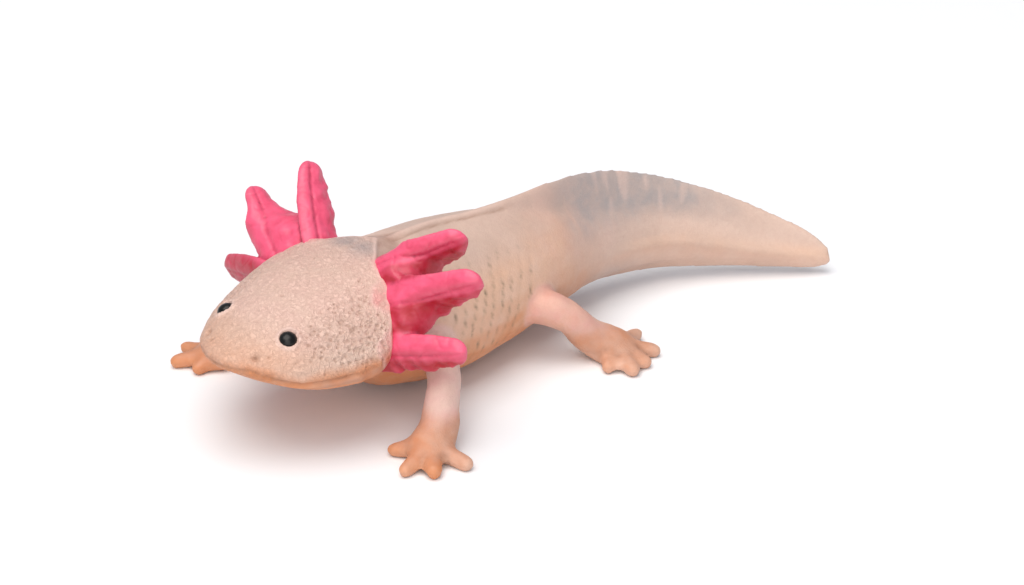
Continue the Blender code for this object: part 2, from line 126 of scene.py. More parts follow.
def ease(low: float, high: float, value: Array) -> Array:
    """Smooth step from 0 at low to 1 at high, which may be the lower of the two."""
    share = np.clip((value - low) / (high - low), 0.0, 1.0)
    return share * share * (3 - 2 * share)


def bell(value: Array, centre: float | Array, spread: float) -> Array:
    """A smooth bump of height 1 around centre."""
    return np.exp(-(((value - centre) / spread) ** 2))


def curve_value(table: Curve, at: Array) -> Array:
    """Straight-line value of a table of (position, value) pairs."""
    return np.interp(at, [p for p, _ in table], [v for _, v in table])


def noise_values(places: Array, size: float, shift: float) -> Array:
    """Smooth noise from -1 to 1.

    Args:
        places: points in mm.
        size: spacing of the lumps in mm.
        shift: moves the pattern, so that two calls differ.

    Returns:
        One value for each point.
    """
    scaled = (places / size + shift).tolist()
    return np.array([noise.noise(point) for point in scaled])


# ---------------------------------------------------------------- mesh tools


def read_places(mesh: Mesh) -> Array:
    """Vertex places in mm.

    Args:
        mesh: the mesh.

    Returns:
        A row for each vertex.
    """
    flat = np.empty(len(mesh.vertices) * 3)
    mesh.vertices.foreach_get("co", flat)
    return flat.reshape(-1, 3) / MM


def write_places(mesh: Mesh, places: Array) -> None:
    """Sets the vertex places, given in mm."""
    mesh.vertices.foreach_set("co", (places * MM).ravel())
    mesh.update()


def read_normals(mesh: Mesh) -> Array:
    """Vertex normals.

    Args:
        mesh: the mesh.

    Returns:
        A row for each vertex.
    """
    flat = np.empty(len(mesh.vertices) * 3)
    mesh.vertices.foreach_get("normal", flat)
    return flat.reshape(-1, 3)


def neighbour_mean(mesh: Mesh, values: Array) -> Array:
    """Mean of each vertex's neighbours, for one or more values a vertex.

    Args:
        mesh: the mesh.
        values: one or more numbers for each vertex.

    Returns:
        The means, shaped like the values.
    """
    pairs = np.empty(len(mesh.edges) * 2, dtype=np.int64)
    mesh.edges.foreach_get("vertices", pairs)
    first, second = pairs[::2], pairs[1::2]
    count = len(mesh.vertices)
    columns = values.reshape(count, -1)
    total = np.zeros_like(columns)
    for k in range(columns.shape[1]):
        total[:, k] = np.bincount(first, columns[second, k], count)
        total[:, k] += np.bincount(second, columns[first, k], count)
    reach = np.bincount(first, minlength=count) + np.bincount(second, minlength=count)
    return (total / np.maximum(reach, 1)[:, None]).reshape(values.shape)


def relax(mesh: Mesh, rounds: int, share: Array | float = 1.0) -> None:
    """Smooths a mesh without shrinking it: each round pulls in and then lets out.

    Args:
        mesh: the mesh to smooth.
        rounds: number of rounds.
        share: how much of each move a vertex makes, 0 to 1.
    """
    places = read_places(mesh)
    weight = np.broadcast_to(np.asarray(share, dtype=float), (len(places),))[:, None]
    for _ in range(rounds):
        for factor in (PULL_IN, LET_OUT):
            places = places + weight * factor * (neighbour_mean(mesh, places) - places)
    write_places(mesh, places)


def hollowness(mesh: Mesh, rounds: int) -> Array:
    """How far each vertex lies below the surface round it, in mm; negative on ridges.

    Args:
        mesh: the mesh.
        rounds: rounds of smoothing that the surface is told from.

    Returns:
        One value for each vertex.
    """
    places = read_places(mesh)
    soft = places
    for _ in range(rounds):
        soft = neighbour_mean(mesh, soft)
    return ((soft - places) * read_normals(mesh)).sum(axis=1)


def put_attribute(mesh: Mesh, name: str, values: Array) -> None:
    """Stores one number a vertex for the paint to read."""
    layer = mesh.attributes.new(name, "FLOAT", "POINT")
    layer.data.foreach_set("value", np.clip(values, 0.0, 1.0))


def object_from(name: str, bm: BMesh) -> Object:
    """Turns a bmesh into an object of the scene and frees it.

    Args:
        name: the object's name.
        bm: the bmesh.

    Returns:
        The object.
    """
    mesh = bpy.data.meshes.new(name)
    bm.to_mesh(mesh)
    bm.free()
    obj = bpy.data.objects.new(name, mesh)
    bpy.context.scene.collection.objects.link(obj)
    return obj


def merged_copy(node: str, swell: float) -> BMesh:
    """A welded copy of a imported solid, swollen outwards by swell mm.

    Args:
        node: name of the solid.
        swell: growth in mm.

    Returns:
        The copy.
    """
    bm = bmesh.new()
    bm.from_mesh(bpy.data.objects[node].data)
    bmesh.ops.remove_doubles(bm, verts=bm.verts, dist=0.001 * MM)
    bmesh.ops.recalc_face_normals(bm, faces=bm.faces)
    bm.normal_update()
    for vert in bm.verts:
        vert.co += vert.normal * swell * MM
    return bm


def add_to(bm: BMesh, other: BMesh) -> None:
    """Adds another bmesh's faces to bm and frees the other.

    Args:
        bm: the bmesh that grows.
        other: the one that is added and freed.
    """
    mesh = bpy.data.meshes.new("part")
    other.to_mesh(mesh)
    other.free()
    bm.from_mesh(mesh)
    bpy.data.meshes.remove(mesh)


def run_together(obj: Object, cell: float) -> None:
    """Joins the closed shells of an object into one skin of small square cells.

    Args:
        obj: the object, whose mesh is replaced.
        cell: edge of a cell in mm.
    """
    blend = obj.modifiers.new("Blend", "REMESH")
    blend.mode = "VOXEL"
    blend.voxel_size = cell * MM
    graph = bpy.context.evaluated_depsgraph_get()
    fresh = bpy.data.meshes.new_from_object(obj.evaluated_get(graph))
    old = obj.data
    obj.modifiers.clear()
    obj.data = fresh
    bpy.data.meshes.remove(old)
    keep_largest(obj.data)


def keep_largest(mesh: Mesh) -> None:
    """Deletes every island of a mesh but the largest.

    Args:
        mesh: the mesh, which is changed.
    """
    bm = bmesh.new()
    bm.from_mesh(mesh)
    left = set(bm.verts)
    islands = []
    while left:
        island = [left.pop()]
        for vert in island:
            near = {edge.other_vert(vert) for edge in vert.link_edges} & left
            left -= near
            island.extend(near)
        islands.append(island)
    for island in sorted(islands, key=len)[:-1]:
        bmesh.ops.delete(bm, geom=island, context="VERTS")
    bm.to_mesh(mesh)
    bm.free()


# ---------------------------------------------------------------- the body's own measure


@dataclass(frozen=True)
class BodyLine:
    """The spine in plan, which gives every place a station and a side.

    A station is the distance in mm from the snout tip towards the tail, and a side the
    distance in mm to the animal's left.

    Attributes:
        nose: the snout tip in the frame, in mm, at floor level.
        plan: points of the spine, as (left, backward) in mm from the snout tip.
        step: samples drawn between two points.
        batch: places worked out at a time, to spare memory.
    """

    nose: Point
    plan: Curve = (
        (0.0, 0.0), (0.0, 7.6), (0.0, 19.6), (0.0, 31.6), (0.6, 42.6), (1.8, 52.6),
        (2.6, 62.6), (2.9, 70.6), (3.7, 78.3), (5.9, 86.3), (9.6, 92.3), (14.2, 97.9),
        (19.3, 103.2), (25.2, 109.2),
    )
    step: int = 20
    batch: int = 8000

    def samples(self) -> Array:
        """Points of the smooth curve through the plan, evenly run on past its ends.

        Returns:
            Rows of (left, backward) in mm from the snout tip.
        """
        plan = np.array(self.plan)
        points = np.concatenate(([2 * plan[0] - plan[1]], plan, [2 * plan[-1] - plan[-2]]))
        basis = np.array(((0, 2, 0, 0), (-1, 0, 1, 0), (2, -5, 4, -1), (-1, 3, -3, 1))) / 2
        powers = (np.arange(self.step) / self.step)[:, None] ** np.arange(4)
        drawn = [powers @ basis @ points[k:k + 4] for k in range(len(plan) - 1)]
        return np.concatenate((*drawn, plan[-1:]))

    def locate(self, places: Array) -> tuple[Array, Array]:
        """Station and side of places given in mm from the snout tip.

        Args:
            places: an array of points.

        Returns:
            The stations and the sides.
        """
        line = self.samples()
        runs = np.diff(line, axis=0)
        lengths = np.linalg.norm(runs, axis=1)
        heads = runs / lengths[:, None]
        starts = np.concatenate(([0.0], np.cumsum(lengths)[:-1]))
        middles = line[:-1] + runs / 2
        station, side = np.empty(len(places)), np.empty(len(places))
        for low in range(0, len(places), self.batch):
            part = slice(low, low + self.batch)
            gaps = places[part, None, :2] - middles
            nearest = (gaps ** 2).sum(axis=2).argmin(axis=1)
            offset, head = places[part, :2] - line[nearest], heads[nearest]
            station[part] = starts[nearest] + (offset * head).sum(axis=1)
            side[part] = offset[:, 0] * head[:, 1] - offset[:, 1] * head[:, 0]
        return station, side


@dataclass
class SkinField:
    """What every vertex of the skin knows about its place on the animal.

    Attributes:
        places: points in mm from the snout tip; columns left, back and up.
        normals: outward directions.
        station: distance along the spine in mm.
        side: distance to the left of the spine in mm.
        leg: 1 on a leg, 0 elsewhere.
        collar: 1 beside the roots of the gills, 0 away from them.
    """

    places: Array
    normals: Array
    station: Array
    side: Array
    leg: Array
    collar: Array

    @property
    def left(self) -> Array:
        """Distance to the left of the midline of the head."""
        return self.places[:, 0]

    @property
    def back(self) -> Array:
        """Distance behind the snout tip."""
        return self.places[:, 1]

    @property
    def up(self) -> Array:
        """Height above the floor."""
        return self.places[:, 2]

    def near(self, point: Point | Array) -> Array:
        """Distance in mm from a point given from the snout tip."""
        return np.linalg.norm(self.places - np.array(point), axis=1)

    def noise(self, size: float, shift: float) -> Array:
        """Smooth noise from -1 to 1, with lumps of a size in mm."""
        return noise_values(self.places, size, shift)


def node_share(node: str, places: Array, near: float, far: float) -> Array:
    """1 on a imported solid's surface, falling to 0 away from it.

    Args:
        node: name of the solid.
        places: points of the frame in mm.
        near: distance in mm up to which the share is 1.
        far: distance in mm from which it is 0.

    Returns:
        One share for each point.
    """
    mesh = bpy.data.objects[node].data
    tree = BVHTree.FromPolygons([v.co for v in mesh.vertices],
                                [p.vertices for p in mesh.polygons])
    gaps = np.array([tree.find_nearest(point)[3] for point in (places * MM).tolist()])
    return ease(far, near, gaps / MM)


# ---------------------------------------------------------------- paints


def feed(node: bpy.types.Node, inputs: dict[str | int, object]) -> None:
    """Fills a node's sockets, by name or number, with constants or from other sockets.

    Args:
        node: the node.
        inputs: what goes into its sockets.
    """
    for socket, value in inputs.items():
        if isinstance(value, Socket):
            node.id_data.links.new(value, node.inputs[socket])
        else:
            node.inputs[socket].default_value = value


def add_node(tree: NodeTree, kind: str,
             inputs: dict[str | int, object] | None = None, **settings: object) -> bpy.types.Node:
    """Adds a shader node.

    Args:
        tree: the material's tree.
        kind: the node's type, without the words that all of them start with.
        inputs: what goes into its sockets, by name or number.
        settings: properties of the node.

    Returns:
        The node.
    """
    node = tree.nodes.new("ShaderNode" + kind)
    for name, value in settings.items():
        setattr(node, name, value)
    feed(node, inputs or {})
    return node


@dataclass(frozen=True)
class Coat:
    """One layer of thinned paint.

    Attributes:
        colour: its sRGB colour.
        mask: the attribute of the mesh that says where it lies.
        strength: how much it covers where the mask is 1.
        patch: size in mm of the patches in which it gathers.
        unevenness: how far it thins between the patches, 0 to 1.
    """

    colour: str
    mask: str
    strength: float
    patch: float
    unevenness: float


@dataclass(frozen=True)
class Palette:
    """Short forms of the nodes that a paint is mixed from.

    Attributes:
        tree: the material's tree.
        place: its Object coordinates.
    """

    tree: NodeTree
    place: Socket

    def cloud(self, size: float, detail: float, roughness: float, **inputs: object) -> Socket:
        """Noise with lumps of a size in mm.

        Args:
            size: size of the lumps in mm.
            detail: octaves of finer noise.
            roughness: weight of the finer octaves.
            inputs: what goes into other sockets.

        Returns:
            The noise, 0 to 1.
        """
        return add_node(self.tree, "TexNoise", {
            "Scale": per_mm(size), "Detail": detail, "Roughness": roughness,
            "Vector": self.place, **inputs}).outputs["Fac"]

    def remap(self, value: Socket, source: tuple[float, float],
              target: tuple[float, float], kind: str = "LINEAR") -> Socket:
        """Carries a value from one range to another.

        Args:
            value: what is carried.
            source: the range that it comes from.
            target: the range that it goes to.
            kind: the course between the ends.

        Returns:
            The carried value.
        """
        return add_node(self.tree, "MapRange", {
            "Value": value, "From Min": source[0], "From Max": source[1],
            "To Min": target[0], "To Max": target[1]}, interpolation_type=kind,
        ).outputs["Result"]

    def product(self, first: Socket, second: Socket | float) -> Socket:
        """Two values multiplied, kept from 0 to 1."""
        return add_node(self.tree, "Math", {0: first, 1: second}, operation="MULTIPLY",
                        use_clamp=True).outputs["Value"]

    def mask(self, name: str) -> Socket:
        """What the mesh stores under a name."""
        return add_node(self.tree, "Attribute", attribute_name=name).outputs["Fac"]

    def blend(self, share: Socket, under: object, over: str) -> Socket:
        """A colour laid over what is under it, for a share of 0 to 1."""
        return add_node(self.tree, "Mix", {0: share, 6: under, 7: linear(over)},
                        data_type="RGBA").outputs[2]

    def bump(self, height: Socket, depth: float, inverted: bool = False,
             **inputs: object) -> Socket:
        """Relief of a depth in mm.

        Args:
            height: the relief, 0 to 1.
            depth: its depth in mm.
            inverted: whether 1 is a hollow.
            inputs: what goes into other sockets.

        Returns:
            The bent normal.
        """
        return add_node(self.tree, "Bump", {
            "Strength": 1.0, "Distance": depth * MM, "Height": height, **inputs},
            invert=inverted).outputs["Normal"]


@dataclass(frozen=True)
class Wrinkles:
    """Fine worm-shaped wrinkles between the modelled ones, with painted shade along their lines.

    Attributes:
        mask: attribute of the mesh that says where they are.
        colour: the colour of the painted shade laid in them.
        tint: how much it covers there.
        size: their spacing in mm.
        depth: their depth in mm.
    """

    mask: str
    colour: str
    tint: float
    size: float
    depth: float

    def lines(self, palette: Palette) -> Socket:
        """1 in the wrinkles.

        Args:
            palette: the material's nodes.

        Returns:
            The lines' share, 0 to 1.
        """
        flow = palette.cloud(self.size, 2.0, 0.55, Distortion=0.9)
        offset = add_node(palette.tree, "Math", {0: flow, 1: 0.5}, operation="SUBTRACT")
        gap = add_node(palette.tree, "Math", {0: offset.outputs["Value"]},
                       operation="ABSOLUTE")
        line = palette.remap(gap.outputs["Value"], (0.0, 0.13), (1.0, 0.0), "SMOOTHSTEP")
        return palette.product(line, palette.mask(self.mask))


@dataclass(frozen=True)
class PaintedPvc:
    """Moulded PVC, matt from the mould, sprayed and washed with acrylic paint, with painted shade
    and highlight among its coats.

    Attributes:
        name: the finish's name.
        base: the sprayed ground colour.
        mottle: colour of the thin places of the ground.
        mottle_amount: how far the ground thins there.
        mottle_size: size in mm of those places.
        coats: the layers over it, the lowest first.
        roughness: PVC from a blasted mould scatters light broadly.
        grain: size in mm of the mould's grit, drawn as coarse as it needs to show.
        grain_depth: depth of the grit in mm.
        varnish: share of clear varnish over the paint.
        gleam: strength of the surface's own reflection, 0.5 for plain plastic.
        wrinkles: the fine wrinkles of the skin, if it has any.
    """

    name: str
    base: str
    mottle: str
    mottle_amount: float
    mottle_size: float
    coats: tuple[Coat, ...]
    roughness: float
    grain: float
    grain_depth: float
    varnish: float = 0.0
    gleam: float = 0.5
    wrinkles: Wrinkles | None = None

    def build(self) -> bpy.types.Material:
        """The node material.

        Returns:
            The material.
        """
        material = bpy.data.materials.new(self.name)
        material.use_nodes = True
        tree = material.node_tree
        palette = Palette(tree, add_node(tree, "TexCoord").outputs["Object"])
        colour = self.ground(palette)
        for number, coat in enumerate(self.coats):
            colour = self.lay(palette, colour, coat, number)
        under = {}
        if self.wrinkles:
            lines = self.wrinkles.lines(palette)
            # Painted shade laid into the lines of the fine wrinkles.
            cover = palette.product(lines, self.wrinkles.tint)
            colour = palette.blend(cover, colour, self.wrinkles.colour)
            under["Normal"] = palette.bump(lines, self.wrinkles.depth, inverted=True)
        grit = palette.cloud(self.grain, 3.0, 0.6)
        feed(tree.nodes["Principled BSDF"], {
            "Base Color": colour,
            "Roughness": self.roughness,
            "IOR": 1.5,
            "Specular IOR Level": self.gleam,
            "Coat Weight": self.varnish,
            "Coat Roughness": 0.25,
            "Normal": palette.bump(grit, self.grain_depth, **under),
        })
        material.diffuse_color = linear(self.base)
        return material

    def ground(self, palette: Palette) -> Socket:
        """The ground colour, mottled where the spray was uneven.

        Args:
            palette: the material's nodes.

        Returns:
            The colour.
        """
        speck = palette.cloud(self.mottle_size, 4.0, 0.65)
        share = palette.remap(speck, (0.42, 0.66), (0.0, self.mottle_amount))
        return palette.blend(share, linear(self.base), self.mottle)

    def lay(self, palette: Palette, under: Socket, coat: Coat, number: int) -> Socket:
        """Lays one coat over what is there and gives the colour that results.

        Args:
            palette: the material's nodes.
            under: the colour that is there.
            coat: the coat.
            number: its place in the order, which moves its patches.

        Returns:
            The colour that results.
        """
        moved = add_node(palette.tree, "Mapping", {
            "Vector": palette.place, "Location": (0.01 * number, 0.02, 0.03 * number)})
        cloud = palette.cloud(coat.patch, 3.0, 0.6, Vector=moved.outputs["Vector"])
        thin = (1 - coat.unevenness) * coat.strength
        patchy = palette.remap(cloud, (0.36, 0.62), (thin, coat.strength))
        cover = palette.product(palette.mask(coat.mask), patchy)
        return palette.blend(cover, under, coat.colour)


SKIN_PAINT = PaintedPvc(
    name="cream_pvc_with_pink_and_peach_spray",
    base="#dabfae",
    mottle="#caa898",
    mottle_amount=0.35,
    mottle_size=1.1,
    coats=(
        Coat("#dba3a2", "blush", 0.8, 4.0, 0.5),
        Coat("#cf9660", "tan", 0.85, 5.0, 0.4),
        Coat("#ac978a", "dun", 0.8, 6.0, 0.4),
        Coat("#cc7834", "peach", 1.0, 3.5, 0.35),
        Coat("#8f9194", "smoke", 0.95, 3.0, 0.35),
        # Brown; on the neck behind the head's edge it is painted shade.
        Coat("#967262", "brown", 0.85, 3.0, 0.4),
        Coat("#f2d5cb", "rim", 0.8, 2.0, 0.1),
        Coat("#e8607c", "spill", 0.6, 1.6, 0.6),
        Coat("#56553f", "streak", 0.75, 1.5, 0.8),
        # A dark wash and painted shade in every hollow.
        Coat("#7d553c", "wash", 0.8, 2.0, 0.5),
    ),
    roughness=0.52,
    grain=0.35,
    grain_depth=0.05,
    # The wrinkles carry painted shade in their lines.
    wrinkles=Wrinkles("wrinkled", "#8f6c5c", tint=0.22, size=0.62, depth=0.07),
)
GILL_PAINT = PaintedPvc(
    name="carmine_acrylic_on_pvc",
    base="#e8587c",
    mottle="#d43d5e",
    mottle_amount=0.5,
    mottle_size=2.2,
    coats=(
        # Painted shade: deep crimson on the undersides and the blades.
        Coat("#a80a22", "shade", 1.0, 3.0, 0.25),
        # Painted highlight: pale pink on the raised parts.
        Coat("#f27f98", "ridge", 0.45, 2.5, 0.5),
        # Painted shade: dark crimson in the hollows of the folds.
        Coat("#80122e", "fold", 0.75, 2.0, 0.35),
    ),
    roughness=0.44,
    grain=0.5,
    grain_depth=0.03,
    varnish=0.1,
)
EYE_PAINT = PaintedPvc(
    name="black_gloss_enamel",
    base="#0b0d0c",
    mottle="#151a18",
    mottle_amount=0.5,
    mottle_size=1.2,
    coats=(),
    roughness=0.32,
    grain=0.6,
    grain_depth=0.012,
    varnish=0.12,
    gleam=0.3,
)


# ---------------------------------------------------------------- relief of the skin


def eye_direction(side: Side) -> Vector:
    """Direction in which an eye looks out of the head."""
    return Vector((0.42 * side.value, -0.22, 0.88)).normalized()


@dataclass(frozen=True)
class MouthLine:
    """The shut mouth: a groove round the snout, a lip above and a band below it.

    Attributes:
        course: (distance behind the snout tip, height) along the mouth, in mm.
        corner: how far its corners lie behind the snout tip.
        groove_depth: depth of the groove.
        groove_half: its half width.
        lip_rise: height of the upper lip.
        band_height: width of the lower lip, down to a crease.
        band_depth: depth of that crease.
        band_rise: height of the lower lip.
        pad_rise: height of the swelling behind each corner.
        pad_away: its distance from the midline.
        pad_up: its height over the floor.
    """

    course: Curve = (
        (0.0, 15.9), (1.5, 16.0), (3.0, 15.3), (5.0, 14.3), (6.8, 13.6), (9.0, 13.7),
        (12.9, 13.9), (17.5, 14.5),
    )
    corner: float = 14.0
    groove_depth: float = 0.34
    groove_half: float = 0.30
    lip_rise: float = 0.12
    band_height: float = 1.5
    band_depth: float = 0.16
    band_rise: float = 0.10
    pad_rise: float = 0.5
    pad_away: float = 14.4
    pad_up: float = 13.6

    def above(self, field: SkinField) -> Array:
        """Height over the mouth line in mm."""
        return field.up - curve_value(self.course, field.back)

    def height(self, field: SkinField) -> Array:
        """Relief in mm.

        Args:
            field: the skin's vertices in the animal's own measure.

        Returns:
            One value for each vertex.
        """
        over = self.above(field)
        shut = ease(self.corner + 0.8, self.corner - 0.4, field.back)
        shut = shut * (0.25 + 0.75 * ease(3.0, 7.5, field.back))
        groove = -self.groove_depth * bell(over, 0.0, self.groove_half)
        lip = self.lip_rise * bell(over, 0.75, 0.55)
        band = self.band_rise * bell(over, -0.8, 0.5)
        crease = -self.band_depth * bell(over, -self.band_height, 0.3)
        return shut * (groove + lip + band + crease) + self.pad(field)

    def pad(self, field: SkinField) -> Array:
        """The soft swelling behind each corner of the mouth.

        Args:
            field: the skin's vertices in the animal's own measure.

        Returns:
            One value for each vertex.
        """
        total = np.zeros(len(field.places))
        for side in Side:
            gap = field.near((self.pad_away * side.value, self.corner + 0.7, self.pad_up))
            total += self.pad_rise * np.exp(-gap ** 2)
        return total


@dataclass(frozen=True)
class HeadSkin:
    """Fine worm-shaped wrinkles and pits pressed into the skin of the head.

    Attributes:
        crease_size: spacing of the wrinkles in mm.
        crease_depth: their depth.
        pit_count: number of pits.
        pit_radius: radius of a middling pit.
        pit_depth: depth of the deepest.
    """

    crease_size: float = 1.25
    crease_depth: float = 0.10
    pit_count: int = 340
    pit_radius: float = 0.29
    pit_depth: float = 0.2

    def share(self, field: SkinField) -> Array:
        """1 on the wrinkled part of the head, 0 on the smooth neck and chin."""
        margin = head_margin(field)
        return ease(0.6, -0.8, margin) * ease(12.8, 14.8, field.up)

    def creases(self, field: SkinField) -> Array:
        """1 along the middle of the wrinkles.

        Args:
            field: the skin's vertices in the animal's own measure.

        Returns:
            One share for each vertex.
        """
        warp = np.stack([field.noise(2.6, k * 7.3) for k in (1, 2, 3)], 1)
        flow = noise_values(field.places + warp * 0.9, self.crease_size, 3.1)
        fine = noise_values(field.places + warp * 0.5, self.crease_size * 0.62, 9.7)
        return np.maximum(np.exp(-(flow / 0.11) ** 2), 0.7 * np.exp(-(fine / 0.10) ** 2))

    def pits(self, field: SkinField) -> Array:
        """1 at the bottom of the pits, which crowd behind the eyes and on the cheeks.

        Args:
            field: the skin's vertices in the animal's own measure.

        Returns:
            One share for each vertex.
        """
        chooser = random.Random(SEED)
        weight = self.pit_density(field) * (self.share(field) > 0.5)
        order = np.cumsum(weight)
        depth = np.zeros(len(field.places))
        for _ in range(self.pit_count):
            middle = int(np.searchsorted(order, chooser.random() * order[-1]))
            size = self.pit_radius * chooser.uniform(0.55, 1.25)
            gap = np.linalg.norm(field.places - field.places[middle], axis=1)
            depth = np.maximum(depth, chooser.uniform(0.5, 1.0) * np.exp(-(gap / size) ** 4))
        return depth

    def pit_density(self, field: SkinField) -> Array:
        """How thickly the pits are strewn.

        Args:
            field: the skin's vertices in the animal's own measure.

        Returns:
            One value for each vertex.
        """
        away = np.abs(field.left)
        cheek = bell(field.back, 15.5, 5.0) * bell(field.up, 19.0, 3.4) * ease(6.0, 9.5, away)
        crown = bell(field.back, 21.0, 4.5) * ease(23.0, 24.5, field.up)
        brow = bell(field.back, 9.5, 2.5) * bell(away, 9.5, 2.2)
        return cheek + 0.10 * crown + 0.25 * brow + 0.015


# The head's rear edge on the cheek: (height, distance behind the snout tip) in mm.
HEAD_EDGE = ((13.8, 20.0), (17.8, 20.9), (20.5, 22.7), (22.5, 24.4), (25.0, 26.0))


def head_margin(field: SkinField) -> Array:
    """Distance in mm behind the head's rear edge; negative on the head.

    The edge runs from a point on the nape down and forward to the jaw's corner.

    Args:
        field: the skin's vertices in the animal's own measure.

    Returns:
        One value for each vertex.
    """
    nape = 32.0 - 1.02 * np.abs(field.left)
    cheek = curve_value(HEAD_EDGE, field.up)
    edge = np.where(field.up > 22.0, np.maximum(nape, cheek), cheek)
    return field.back - edge


@dataclass(frozen=True)
class NapeFold:
    """The raised edge in which the skin of the head ends over the neck.

    Attributes:
        rise: its height in mm.
        run: length in mm of the slope that leads up to it.
    """

    rise: float = 0.26
    run: float = 3.2

    def height(self, field: SkinField) -> Array:
        """Relief in mm: a slow rise to the edge and a quick fall behind it.

        Args:
            field: the skin's vertices in the animal's own measure.

        Returns:
            One value for each vertex.
        """
        margin = head_margin(field)
        slope = np.where(margin < 0, ease(-self.run, -0.2, margin), ease(0.8, -0.1, margin))
        return self.rise * slope * ease(14.5, 17.0, field.up)


@dataclass(frozen=True)
class GillCollar:
    """The wavy edge of head skin that laps over the roots of the gills.

    Attributes:
        nodes: the gills' solids.
        rise: its height in mm.
    """

    nodes: tuple[str, ...] = tuple(
        "gill_%s_%s" % (side.label, level) for side in Side
        for level in ("upper", "middle", "lower"))
    rise: float = 0.12

    def near(self, places: Array) -> Array:
        """1 beside a gill, falling to 0 within two millimetres of it."""
        return np.max([node_share(node, places, 0.2, 2.0) for node in self.nodes], axis=0)


@dataclass(frozen=True)
class Nostrils:
    """Two small oval pits at the front of the snout.

    Attributes:
        left: place of the left one, in mm from the snout tip.
        right: place of the right one.
        radius: their radius in mm.
        depth: their depth in mm.
        shape: how far they spread left, backward and up, in radii.
    """

    left: Point = (5.0, 2.9, 17.6)
    right: Point = (-5.8, 3.5, 17.6)
    radius: float = 0.62
    depth: float = 0.62
    shape: Point = (1.0, 1.0, 0.7)

    def hollow(self, field: SkinField) -> Array:
        """1 in the middle of each nostril.

        Args:
            field: the skin's vertices in the animal's own measure.

        Returns:
            One share for each vertex.
        """
        total = np.zeros(len(field.places))
        for point in (self.left, self.right):
            middle = field.places[field.near(point).argmin()]
            offset = (field.places - middle) / np.array(self.shape)
            total += np.exp(-(np.linalg.norm(offset, axis=1) / self.radius) ** 2)
        return total

    def height(self, field: SkinField) -> Array:
        """Relief in mm."""
        return -self.depth * self.hollow(field)


@dataclass(frozen=True)
class FlankFolds:
    """The grooves between the ribs, which run down the flanks.

    Attributes:
        first: station of the first groove, at a height of 12 mm.
        spacing: distance in mm from one to the next.
        count: number of grooves.
        slant: how far they lean back for each mm of height.
        depth: their depth in mm.
        half: their half width in mm.
    """

    first: float = 34.0
    spacing: float = 2.15
    count: int = 10
    slant: float = 0.36
    depth: float = 0.13
    half: float = 0.21

    def grooves(self, field: SkinField) -> Array:
        """1 along the bottom of the grooves.

        Args:
            field: the skin's vertices in the animal's own measure.

        Returns:
            One share for each vertex.
        """
        wobble = 0.5 * field.noise(5.0, 4.4)
        along = field.station - self.slant * (field.up - 12.0) + wobble
        lines = np.zeros(len(field.places))
        for k in range(self.count):
            lines = np.maximum(lines, bell(along, self.first + self.spacing * k, self.half))
        flank = ease(21.5, 19.0, field.up) * ease(4.0, 7.0, field.up)
        flank *= ease(6.5, 8.5, np.abs(field.side)) * (1 - field.leg)
        return lines * flank * ease(-0.6, 0.0, field.noise(3.4, 8.8))

    def height(self, field: SkinField) -> Array:
        """Relief in mm."""
        return -self.depth * self.grooves(field)


@dataclass(frozen=True)
class BackKeel:
    """The low keel of the back and the crease that sets it off.

    Attributes:
        start: station where it rises.
        end: station where it runs into the tail's fin.
        away: distance in mm of the crease from the keel's line.
        depth: depth of the crease in mm.
        rise: height of the keel in mm.
        above: height in mm over which the back counts as its top.
    """

    start: float = 33.5
    end: float = 60.0
    away: float = 0.95
    depth: float = 0.14
    rise: float = 0.28
    above: float = 19.5

    def crease(self, field: SkinField) -> Array:
        """1 along the crease on both sides of the keel.

        Args:
            field: the skin's vertices in the animal's own measure.

        Returns:
            One share for each vertex.
        """
        wave = 0.18 * field.noise(4.0, 1.7)
        line = bell(np.abs(field.side), self.away + wave, 0.24)
        run = ease(self.start - 1, self.start + 1, field.station)
        return line * run * ease(self.end, self.end - 6, field.station) * (field.up > self.above)

    def height(self, field: SkinField) -> Array:
        """Relief in mm.

        Args:
            field: the skin's vertices in the animal's own measure.

        Returns:
            One value for each vertex.
        """
        run = ease(self.start - 3, self.start + 2, field.station)
        ridge = bell(field.side, 0.0, 0.6) * run * ease(self.end + 4, self.end - 4, field.station)
        return self.rise * ridge * (field.up > self.above) - self.depth * self.crease(field)


@dataclass(frozen=True)
class TailBand:
    """The soft ridge of muscle low on the tail.

    Attributes:
        course: (station, height in mm) along the ridge.
        rise: its height in mm.
        spread: its half width in mm.
    """

    course: Curve = (
        (66.0, 10.2), (84.0, 8.4), (92.5, 7.6), (100.0, 6.0), (107.0, 4.7), (116.0, 3.2),
    )
    rise: float = 0.30
    spread: float = 0.75

    def over(self, field: SkinField) -> Array:
        """Height over the ridge in mm."""
        return field.up - curve_value(self.course, field.station)

    def height(self, field: SkinField) -> Array:
        """Relief in mm.

        Args:
            field: the skin's vertices in the animal's own measure.

        Returns:
            One value for each vertex.
        """
        run = ease(74.0, 86.0, field.station) * ease(116.5, 112.0, field.station)
        ridge = self.rise * bell(self.over(field), 0.0, self.spread)
        dip = -0.6 * self.rise * bell(self.over(field), 1.5, 0.9)
        return run * (ridge + dip)


@dataclass(frozen=True)
class SoftLumps:
    """The slight unevenness that a sculptor's tool leaves on flesh and limbs.

    Attributes:
        broad: height in mm of the broad lumps.
        small: height in mm of the small ones.
        limb: height in mm of those on the limbs.
    """

    broad: float = 0.10
    small: float = 0.035
    limb: float = 0.12

    def height(self, field: SkinField) -> Array:
        """Relief in mm."""
        return (self.broad * field.noise(4.5, 2.2) + self.small * field.noise(1.3, 6.6)
                + self.limb * field.noise(2.2, 5.5) * field.leg)


